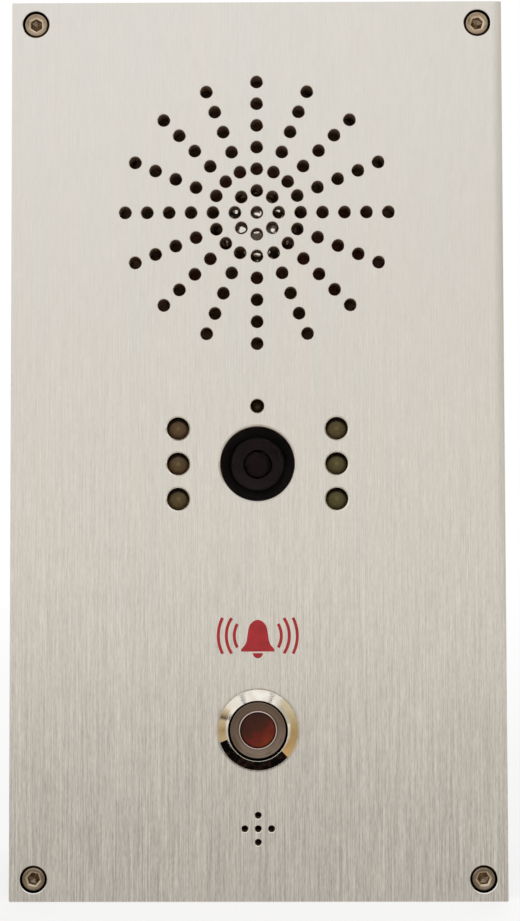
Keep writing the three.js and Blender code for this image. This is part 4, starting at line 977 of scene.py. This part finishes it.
# the bezel's bore takes the dark recess colour, a painted shade
turned("button_bezel_and_barrel", eased(bezel, 0.1), BUTTON, [CHROME, RECESS], "button_body",
       count=FINE, materials=lambda k, p: 1 if max(p[k][0], p[(k + 1) % len(p)][0]) < BORE_R + 0.01 else 0)
seal = [(8.1, -50), (8.9, -50), (8.9, FRONT), (8.1, FRONT)]
turned("button_flat_seal", eased(seal, 0.15), BUTTON, RUBBER, "button_seal")
bm = bmesh.new()
slab(bm, hexagon(19, *BUTTON, 8), BACK, -43.0, 0.35, [(circle(*BUTTON), 8.05)])
piece("button_lock_nut", bm, STEEL, stands_for="button_nut", centre=BUTTON)
lip = [(4.02, -51.12, 0.04), (4.12, -51.2, 0.05), (4.3, -51.12, 0.06), (4.45, -50.34, 0.1)]
button_cap = [(0, -49.6, 0), (4.02, -49.6, 0), *lip, (5.3, -50.58), (6.15, -51.06), (6.38, -50.94),
              (6.45, -50.7), (6.45, -47.2), (STEM_R, -47.2), (STEM_R, STEM_END), (0, STEM_END)]
turned("button_cap_turned", eased(button_cap, 0.1), BUTTON, [CAP_METAL, CAP_LIP], "button_cap",
       "call_button", FINE, lambda k, p: 1 if p[k][1] < -50.95 and p[k][0] < 4.4 else 0)
lens = [(0, -50.94), (1, -50.93), (2, -50.9), (3, -50.85), (3.6, -50.8), (3.9, -50.74), (4.0, -50.66),
        (4.0, -49.6), (0, -49.6)]
turned("button_lens_red", lens, BUTTON, RED_LENS, "button_lens", "call_button", FINE)
contact = [(0, STEM_END), (4.6, STEM_END), (4.6, -36.9), (2.0, -36.9), (1.6, -37.2), (0, -37.2)]
turned("button_contact_disc", eased(contact, 0.15), BUTTON, BRASS, "button_contact", "call_button")

# the spring's end turns lie flat
SPRING_R, SPRING_TOP, SPRING_LENGTH, SPRING_TURNS, SPRING_STEPS = 4.4, -46.55, 5.9, 5, 180
helix = []
for share in (k / SPRING_STEPS for k in range(SPRING_STEPS + 1)):
    x, z = on_circle(SPRING_R, 2 * math.pi * SPRING_TURNS * share, *BUTTON)
    helix.append(Vector((x, SPRING_TOP + SPRING_LENGTH * min(max((share - 0.08) / 0.84, 0), 1), z)))
bm = bmesh.new()
sweep(bm, helix, 0.34, 10)
spring = piece("button_return_spring", bm, STEEL, stands_for="button_spring")
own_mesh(spring)

switch = [(0, -34.6), (6.4, -34.6), (6.4, -27.5), (7.9, -27.5), (7.9, -24.5, 0.4), (0, -24.5)]
turned("switch_block_moulded", eased(switch, 0.2), BUTTON, BLACK_PLASTIC, "switch_block")
bm = bmesh.new()
for x, z in ((-3.6, 2.6), (-3.6, -2.6), (3.6, -3.6), (0, 4.6)):
    slab(bm, rectangle(1.2, 0.3, 0.1, x, BUTTON_Z + z), -24.6, -21.2, 0.12)
piece("switch_block_tags", bm, BRASS)

# ---------------- microphone and main board

boot = [(4.3, BACK), (7.5, BACK, 0.4), (7.5, BOARD_FRONT, 0.3), (5.15, BOARD_FRONT), (5.15, -43.5),
        (4.3, -43.5)]
turned("microphone_rubber_boot", eased(boot, 0.15), MIC, RUBBER, "microphone_boot")
can = [(0, -43.2), (4.85, -43.2, 0.5), (4.85, BOARD_FRONT, 0.1), (0, BOARD_FRONT)]
turned("microphone_can", eased(can, 0.2), MIC, CAN, "microphone_capsule")
felt = [(0, -43.32), (3.9, -43.32), (3.9, -43.2), (0, -43.2)]
turned("microphone_felt", eased(felt, 0.04), MIC, FELT)

PINS = {name: (sx * 40.0, -28.0 if sz > 0 else -90.0) for name, (sx, sz) in CORNERS.items()}
bm = bmesh.new()
slab(bm, rectangle(44, 35, 1.0, 0, -59), BOARD_FRONT, BOARD_BACK, 0.06,
     [(circle(*BUTTON), 9.5), *((circle(x, z, 24), M3_CLEAR) for x, z in PINS.values())])
piece("main_board_masked", bm, BOARD, stands_for="main_board")
for name, (x, z) in PINS.items():
    bm = bmesh.new()
    pillar = loft(bm, hexagon(5.5, x, z),
                  [(BACK, 0.25), (BACK + 0.25, 0), (BOARD_FRONT - 0.25, 0), (BOARD_FRONT, 0.25)])
    pin = loft(bm, circle(x, z, 24), [(BOARD_FRONT, M3), *thread(-36.2, -32.4), (-31.9, 1.2)])
    cap(bm, pillar[0])
    cap(bm, pillar[-1], [pin[0]])
    cap(bm, pin[-1])
    piece(f"brass_pillar_{name}", bm, BRASS, stands_for=f"board_standoff_{name}", centre=(x, z))
bm = bmesh.new()
for x, z in PINS.values():
    slab(bm, hexagon(5.5, x, z, 15), BOARD_BACK, -32.6, 0.3, [(circle(x, z, 24), 1.62)])
piece("board_nuts", bm, STEEL)

# ---------------- small parts on the boards

def brick(bm, x, z, wide, tall, front, back, edge=0.05, material=0):
    slab(bm, rectangle(wide / 2, tall / 2, 0.15, x, z, 2), front, back, edge, material=material)


def resistor(bm, x, z, tall, board):
    """A ceramic chip between two tinned ends."""
    brick(bm, x, z, 0.9, tall, board, board + 0.6)
    for side in (-1, 1):
        brick(bm, x + side * 0.65, z, 0.4, tall + 0.05, board, board + 0.64, material=1)


CONTACTS_X = [-31.6 + 1.02 * k for k in range(8)]
bm = bmesh.new()
for x, z, wide, tall, high in ((-14, -82, 12, 12, 1.4), (13, -87, 6, 9, 1.5), (-33, -33, 5, 6, 1.5),
                               (18, -32, 7, 7, 1.0), (12, -72, 4, 5, 1.2)):
    brick(bm, x, z, wide, tall, BOARD_BACK + 0.15, BOARD_BACK + 0.15 + high, 0.12)
brick(bm, 0, CAMERA_Z + 6, 5, 4, -25.4, -24.4, 0.12)
piece("board_chips", bm, CHIP)
bm = bmesh.new()
for x, z, wide, tall in ((-14, -82, 12, 12), (13, -87, 6, 9), (18, -32, 7, 7)):
    for k in range(tall - 1):
        for side in (-1, 1):
            leg_x, leg_z = x + side * (wide / 2 + 0.45), z - tall / 2 + 1.0 + k
            brick(bm, leg_x, leg_z, 0.95, 0.4, BOARD_BACK, BOARD_BACK + 0.55)
for x in CONTACTS_X:
    brick(bm, x, -63.2, 0.5, 1.6, BOARD_BACK, BOARD_BACK + 0.4)
piece("chip_legs", bm, SOLDER)
bm = bmesh.new()
for x, z, r, high in ((-33, -73, 3.1, 6.5), (-33, -81, 3.1, 6.5), (-25, -76, 2.1, 5), (20, -45, 2.1, 5)):
    profile = [(0, 0), (r, 0, 0.2), (r, 1.0, 0), (r - 0.2, 1.25, 0), (r, 1.5, 0), (r, high, 0.3),
               (r - 0.4, high, 0.1), (r - 0.5, high - 0.15, 0), (0, high - 0.15)]
    lathe(bm, eased([(a, BOARD_BACK + b, *ease) for a, b, *ease in profile], 0.1), x, z, 32)
piece("board_capacitors", bm, CAN)
bm = bmesh.new()
# places, with the half sizes around them, where no resistor stands
taken = [(-28, -51.5, 11, 14), (28, -67, 8, 18), (0, -63.5, 13, 13), (-14, -82, 9, 9), (13, -87, 6, 7),
         (-33, -33, 5, 6), (18, -32, 6, 6), (-30, -77, 8, 10), (0, -36, 8, 8), (33, -36, 6, 8),
         (14, -46, 5, 5), (20, -45, 5, 5), (12, -72, 4, 4), *((x, z, 5, 5) for x, z in PINS.values())]
for _ in range(260):
    x, z = round(chance.uniform(-41, 41)), round(chance.uniform(-92, -26) / 1.5) * 1.5
    if all(abs(x - a) > c or abs(z - b) > d for a, b, c, d in taken):
        taken.append((x, z, 2.4, 1.4))
        resistor(bm, x, z, 0.9, BOARD_BACK)
for x, z in ((-16, 8), (-16, 2), (-16, -6), (16, 8), (16, 2), (16, -6), (-21, 12), (21, 12)):
    resistor(bm, x, CAMERA_Z + z - 1, 1.1, LAMP_BOARD_BACK)
piece("board_resistors", bm, [CERAMIC, SOLDER])
bm = bmesh.new()
joint = eased([(r, LAMP_BOARD_BACK + high)
               for r, high in ((0, 0), (0.85, 0), (0.4, 0.5), (0.3, 0.9), (0, 0.9))], 0.08)
for x, z in [*((x + dx, z) for x, z in LAMPS.values() for dx in (-1.27, 1.27)), (-1.0, SENSOR_Z - 1.5)]:
    lathe(bm, joint, x, z, 16)
piece("lamp_solder_joints", bm, SOLDER)

bm = bmesh.new()
brick(bm, 0, -38.2, 14, 4.0, BOARD_BACK, BOARD_BACK + 2.2, 0.2)
brick(bm, 33, -36.6, 5.6, 6.4, BOARD_BACK, BOARD_BACK + 3.4, 0.25)
brick(bm, 14, -46.5, 5.6, 4.6, BOARD_BACK, BOARD_BACK + 1.0, 0.2)
brick(bm, 0, CAMERA_Z - 5.4, 13, 3.2, -25.4, -24.9, 0.12)
piece("lead_connector_housings", bm, FLEX)
bm = bmesh.new()
for x in CONTACTS_X:
    bent = [(-32.2, -56.6), (-31.9, -54), (-30.2, -50), (-30.6, -46.5), (-32.0, -44.5)]
    sweep(bm, smooth_route([(x, y, z) for y, z in bent], 4), 0.16, 8)
piece("jack_contacts", bm, BRASS)
bm = bmesh.new()
for k in range(6):
    x, z = 26.7, -54.5 - 5 * k
    slot = polygon([(x - 1.5, z - 0.2), (x + 1.5, z - 0.2), (x + 1.5, z + 0.2), (x - 1.5, z + 0.2)])
    block(bm, circle(x, z, 32), [(-25.6, 1.75), (-24.75, 1.75), (-24.6, 1.6)],
          pockets=[(slot, [(-24.6, 0), (-25.1, 0)], 0)])
piece("terminal_screws", bm, SCREW)

# ---------------- leads

speaker_route = [(strip_x, -26.9, strip_z), (strip_x + 3, -25.9, strip_z - 5), (29, -26.9, SPEAKER_Z - 38.5),
                 (33, -30.2, CAMERA_Z), (33, -32.5, -18), (33, -33.5, -26), (33, -33.5, -33.4)]
button_route = [(3, -24.2, -63.5), (3, -21.2, -63.5), (5, -18.2, -60.5), (10, -19.2, -53.5),
                (13, -29.55, -48.5), (14, -31.9, -46.5), (14, -33.9, -46.5)]
for name, route in (("speaker_lead", speaker_route), ("button_lead", button_route)):
    bm = bmesh.new()
    sweep(bm, smooth_route(route, 10), 0.52, 12, strands=2, spread=0.54, lay=9.0)
    piece(f"{name}_pair", bm, [SHEATH, SHEATH_RED], stands_for=name)

# ---------------- CAD nodes whose shape is right keep it

KEPT = {"corner_post": STEEL, "speaker_basket": BASKET_PAINT, "speaker_clamp_ring": STEEL,
        "optics_bracket": BRACKET, "camera_board": BOARD, "lamp_board": BOARD, "network_jack": TINNED,
        "terminal_block": GREY_MOULDING, "camera_ribbon": FLEX}
for name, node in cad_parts.items():
    for start, look in KEPT.items():
        if name.startswith(start) and not node.hide_render:
            node.data.materials.clear()
            node.data.materials.append(look.material)
            edge = node.modifiers.new("edges", "BEVEL")
            edge.width = (0.05 if "ribbon" in name or "board" in name else 0.12) * MM
            edge.segments = 2
            edge.limit_method = "ANGLE"
            edge.angle_limit = math.radians(50)

# ---------------- floor, light and camera

WHITE = (1.0, 1.0, 1.0)


def staged(mesh, material):
    """An object that is no part of the panel."""
    mesh.materials.append(material)
    made = bpy.data.objects.new(mesh.name, mesh)
    scene.collection.objects.link(made)
    return made


# the floor fades to white away from the panel, and mirrors see it a little darker than it is
FLOOR_HALF = 3.0
ground = Look("floor_pale", tint(246, 245, 243), 0.9)
rays = ground.add("LightPath").outputs
away = ground.add("VectorMath", ground.place, operation="LENGTH").outputs["Value"]
glow = ground.add("Emission", (*WHITE, 1.0), 1.0).outputs[0]
fading = ground.product(ground.spans(away, 0.2, 0.8, 0.72, 1.0), rays["Is Camera Ray"])
seen = ground.add("MixShader", fading, ground.shader.outputs[0], glow).outputs[0]
mirrored = ground.add("Emission", (1.0, 0.968, 0.92, 1.0), ground.spans(away, 0.06, 0.6, 0.56, 0.85))
seen = ground.add("MixShader", rays["Is Glossy Ray"], seen, mirrored.outputs[0]).outputs[0]
ground.feed(ground.tree.nodes["Material Output"].inputs[0], seen)
mesh = bpy.data.meshes.new("floor")
corners = [(sx * FLOOR_HALF, sy * FLOOR_HALF, 0) for sx, sy in ((-1, -1), (1, -1), (1, 1), (-1, 1))]
mesh.from_pydata(corners, [], [(0, 1, 2, 3)])
staged(mesh, ground.material).matrix_world = Matrix.Translation((0, 0, -PLATE_Z * MM))

# a narrow card curves round the call button and glows, a painted reflection for the bezel: dark below and
# golden at the sides.
# Only mirrors see it, from inside. Its angles are in degrees, from the right by way of the top
CARD_RADIUS, CARD_START, CARD_END, CARD_STEPS = 9.7, -215, 48, 80
CARD_NEAR, CARD_FAR = -50.6, -53.4
DARK_START, DARK_END = -161, -43
GOLDS = ((CARD_START, (0.90, 0.86, 0.78)), (-205, (0.50, 0.40, 0.26)), (-198, (0.10, 0.07, 0.04)),
         (-193, (0.60, 0.50, 0.34)), (-178, (0.46, 0.35, 0.20)), (DARK_START, (0.54, 0.44, 0.27)),
         (DARK_END, (0.58, 0.39, 0.18)), (-20, (0.44, 0.31, 0.145)), (5, (0.46, 0.36, 0.19)),
         (CARD_END, (0.74, 0.70, 0.56)))


def at_turn(degrees):
    return (degrees - CARD_START) / (CARD_END - CARD_START)


card_look = bpy.data.materials.new("card_painted_reflection")
card_look.use_nodes = True
card_look.node_tree.nodes.clear()
nodes = Nodes(card_look.node_tree)
turn = nodes.add("SeparateXYZ", nodes.add("UVMap", uv_map="turn").outputs[0]).outputs[0]
streaks = nodes.add("TexNoise", nodes.add("TexCoord").outputs["Object"])
streaks.inputs["Scale"].default_value = 520.0
blacks = nodes.ramp(streaks.outputs[0], (0.47, (0.003, 0.003, 0.003)), (0.78, (0.050, 0.020, 0.014)))
golds = nodes.ramp(turn, *((at_turn(degrees), shade) for degrees, shade in GOLDS))
in_dark = nodes.math("COMPARE", turn, at_turn((DARK_START + DARK_END) / 2),
                     (DARK_END - DARK_START) / 2 / (CARD_END - CARD_START))
# painted reflection: the card glows black with streaks below the button and gold at its sides
glow = nodes.add("Emission", nodes.mix(in_dark, golds, blacks)).outputs[0]
behind = nodes.add("NewGeometry").outputs["Backfacing"]
clear = nodes.add("BsdfTransparent").outputs[0]
nodes.add("OutputMaterial", nodes.add("MixShader", behind, glow, clear).outputs[0])
corners, faces = [], []
for k in range(CARD_STEPS + 1):
    a = math.radians(CARD_START + (CARD_END - CARD_START) * k / CARD_STEPS)
    x, z = on_circle(CARD_RADIUS, a, *BUTTON)
    corners += [(x * MM, CARD_NEAR * MM, z * MM), (x * MM, CARD_FAR * MM, z * MM)]
    if k:
        faces.append((2 * k - 2, 2 * k - 1, 2 * k + 1, 2 * k))
mesh = bpy.data.meshes.new("bezel_reflection_card")
mesh.from_pydata(corners, [], faces)
middle = mesh.polygons[CARD_STEPS // 2]
if middle.normal.dot(Vector((0, 0, BUTTON_Z * MM)) - middle.center) < 0:
    mesh.flip_normals()
share = mesh.uv_layers.new(name="turn")
for loop in mesh.loops:
    share.data[loop.index].uv = ((loop.vertex_index // 2) / CARD_STEPS, 0.0)
card = staged(mesh, card_look)
for kind in ("camera", "diffuse", "transmission", "shadow", "volume_scatter"):
    setattr(card, f"visible_{kind}", False)


def soft_light(name, place, wide, tall, power, colour=WHITE, mirrored=False):
    """A soft light that faces the panel."""
    data = bpy.data.lights.new(name, "AREA")
    data.shape, data.size, data.size_y, data.energy, data.color = "RECTANGLE", wide, tall, power, colour
    made = bpy.data.objects.new(name, data)
    made.location = place
    made.rotation_euler = (-Vector(place)).to_track_quat("-Z", "Y").to_euler()
    made.visible_glossy = mirrored
    scene.collection.objects.link(made)


soft_light("key_above", (-0.25, -0.75, 0.95), 0.9, 0.6, 4.4)
soft_light("fill_right", (0.9, -0.7, 0.25), 0.6, 0.8, 2.2, (1.0, 0.98, 0.95))
soft_light("back_above", (0.35, 0.9, 0.8), 0.9, 0.6, 4.0, (0.98, 0.99, 1.0), mirrored=True)

# the room: white to the camera, plain grey to diffuse rays, and graded from floor to ceiling to mirrors
world = bpy.data.worlds.new("studio")
scene.world = world
world.use_nodes = True
world.node_tree.nodes.clear()
room = Nodes(world.node_tree)
across, forward, up = room.add("SeparateXYZ", room.add("TexCoord").outputs["Generated"]).outputs[:3]
rays = room.add("LightPath").outputs
bearing = room.math("DEGREES", room.math("ARCTAN2", across, room.product(forward, -1.0)))


def between(value, low, high, start=0.0, end=1.0):
    return room.spans(value, low, high, start, end, interpolation_type="SMOOTHSTEP")


def bar(azimuth, half_width, low, high):
    """The share of a soft upright bar, so many degrees to the right of straight ahead of the panel."""
    off = room.math("ABSOLUTE", room.math("SUBTRACT", bearing, azimuth))
    tall = room.product(between(up, low, low + 0.06), between(up, high, high + 0.06, 1.0, 0.0))
    return room.product(between(off, half_width * 0.5, half_width, 1.0, 0.0), tall)


reflected = room.mix(between(up, -0.42, -0.06), (0.53, 0.515, 0.485), (0.88, 0.868, 0.84))
reflected = room.mix(between(up, 0.04, 0.32), reflected, (0.975, 0.985, 1.0))
right_side = room.product(between(across, 0.25, 0.65), between(up, 0.35, 0.7, 1.0, 0.0))
right_side = room.product(right_side, between(forward, -0.1, 0.2, 1.0, 0.0))
reflected = room.mix(right_side, reflected, (0.54, 0.515, 0.44))
for shape in ((-50.5, 2.6, 0.06, 0.24), (24.5, 2.0, 0.52, 0.80), (-28.0, 2.4, 0.50, 0.72)):
    reflected = room.mix(bar(*shape), reflected, (0.07, 0.055, 0.04))
mirrors = room.math("MAXIMUM", rays["Is Glossy Ray"], rays["Is Transmission Ray"])
colour = room.mix(rays["Is Camera Ray"], room.mix(mirrors, (0.55, 0.55, 0.55), reflected), WHITE)
room.add("OutputWorld", room.add("Background", colour, 1.0).outputs[0])

# the camera stands 0.27 m before the panel, a little below its middle, and looks up by 1.75 degrees
LENS, SENSOR_SIZE = 46.906, 36.0
EYE = Vector((2.0, -320.94, -11.42)) * MM
right = Vector((0.999983, 0.005260, -0.002423))
upward = Vector((0.002583, -0.030612, 0.999528))
ahead = Vector((-0.005184, 0.999517, 0.030625))
view = bpy.data.cameras.new("camera")
view.lens, view.sensor_width, view.clip_start, view.clip_end = LENS, SENSOR_SIZE, 0.01, 50.0
camera = bpy.data.objects.new("camera", view)
scene.collection.objects.link(camera)
camera.matrix_world = Matrix.Translation(EYE) @ Matrix((right, upward, -ahead)).transposed().to_4x4()
scene.camera = camera
scene.view_settings.view_transform = "Standard"
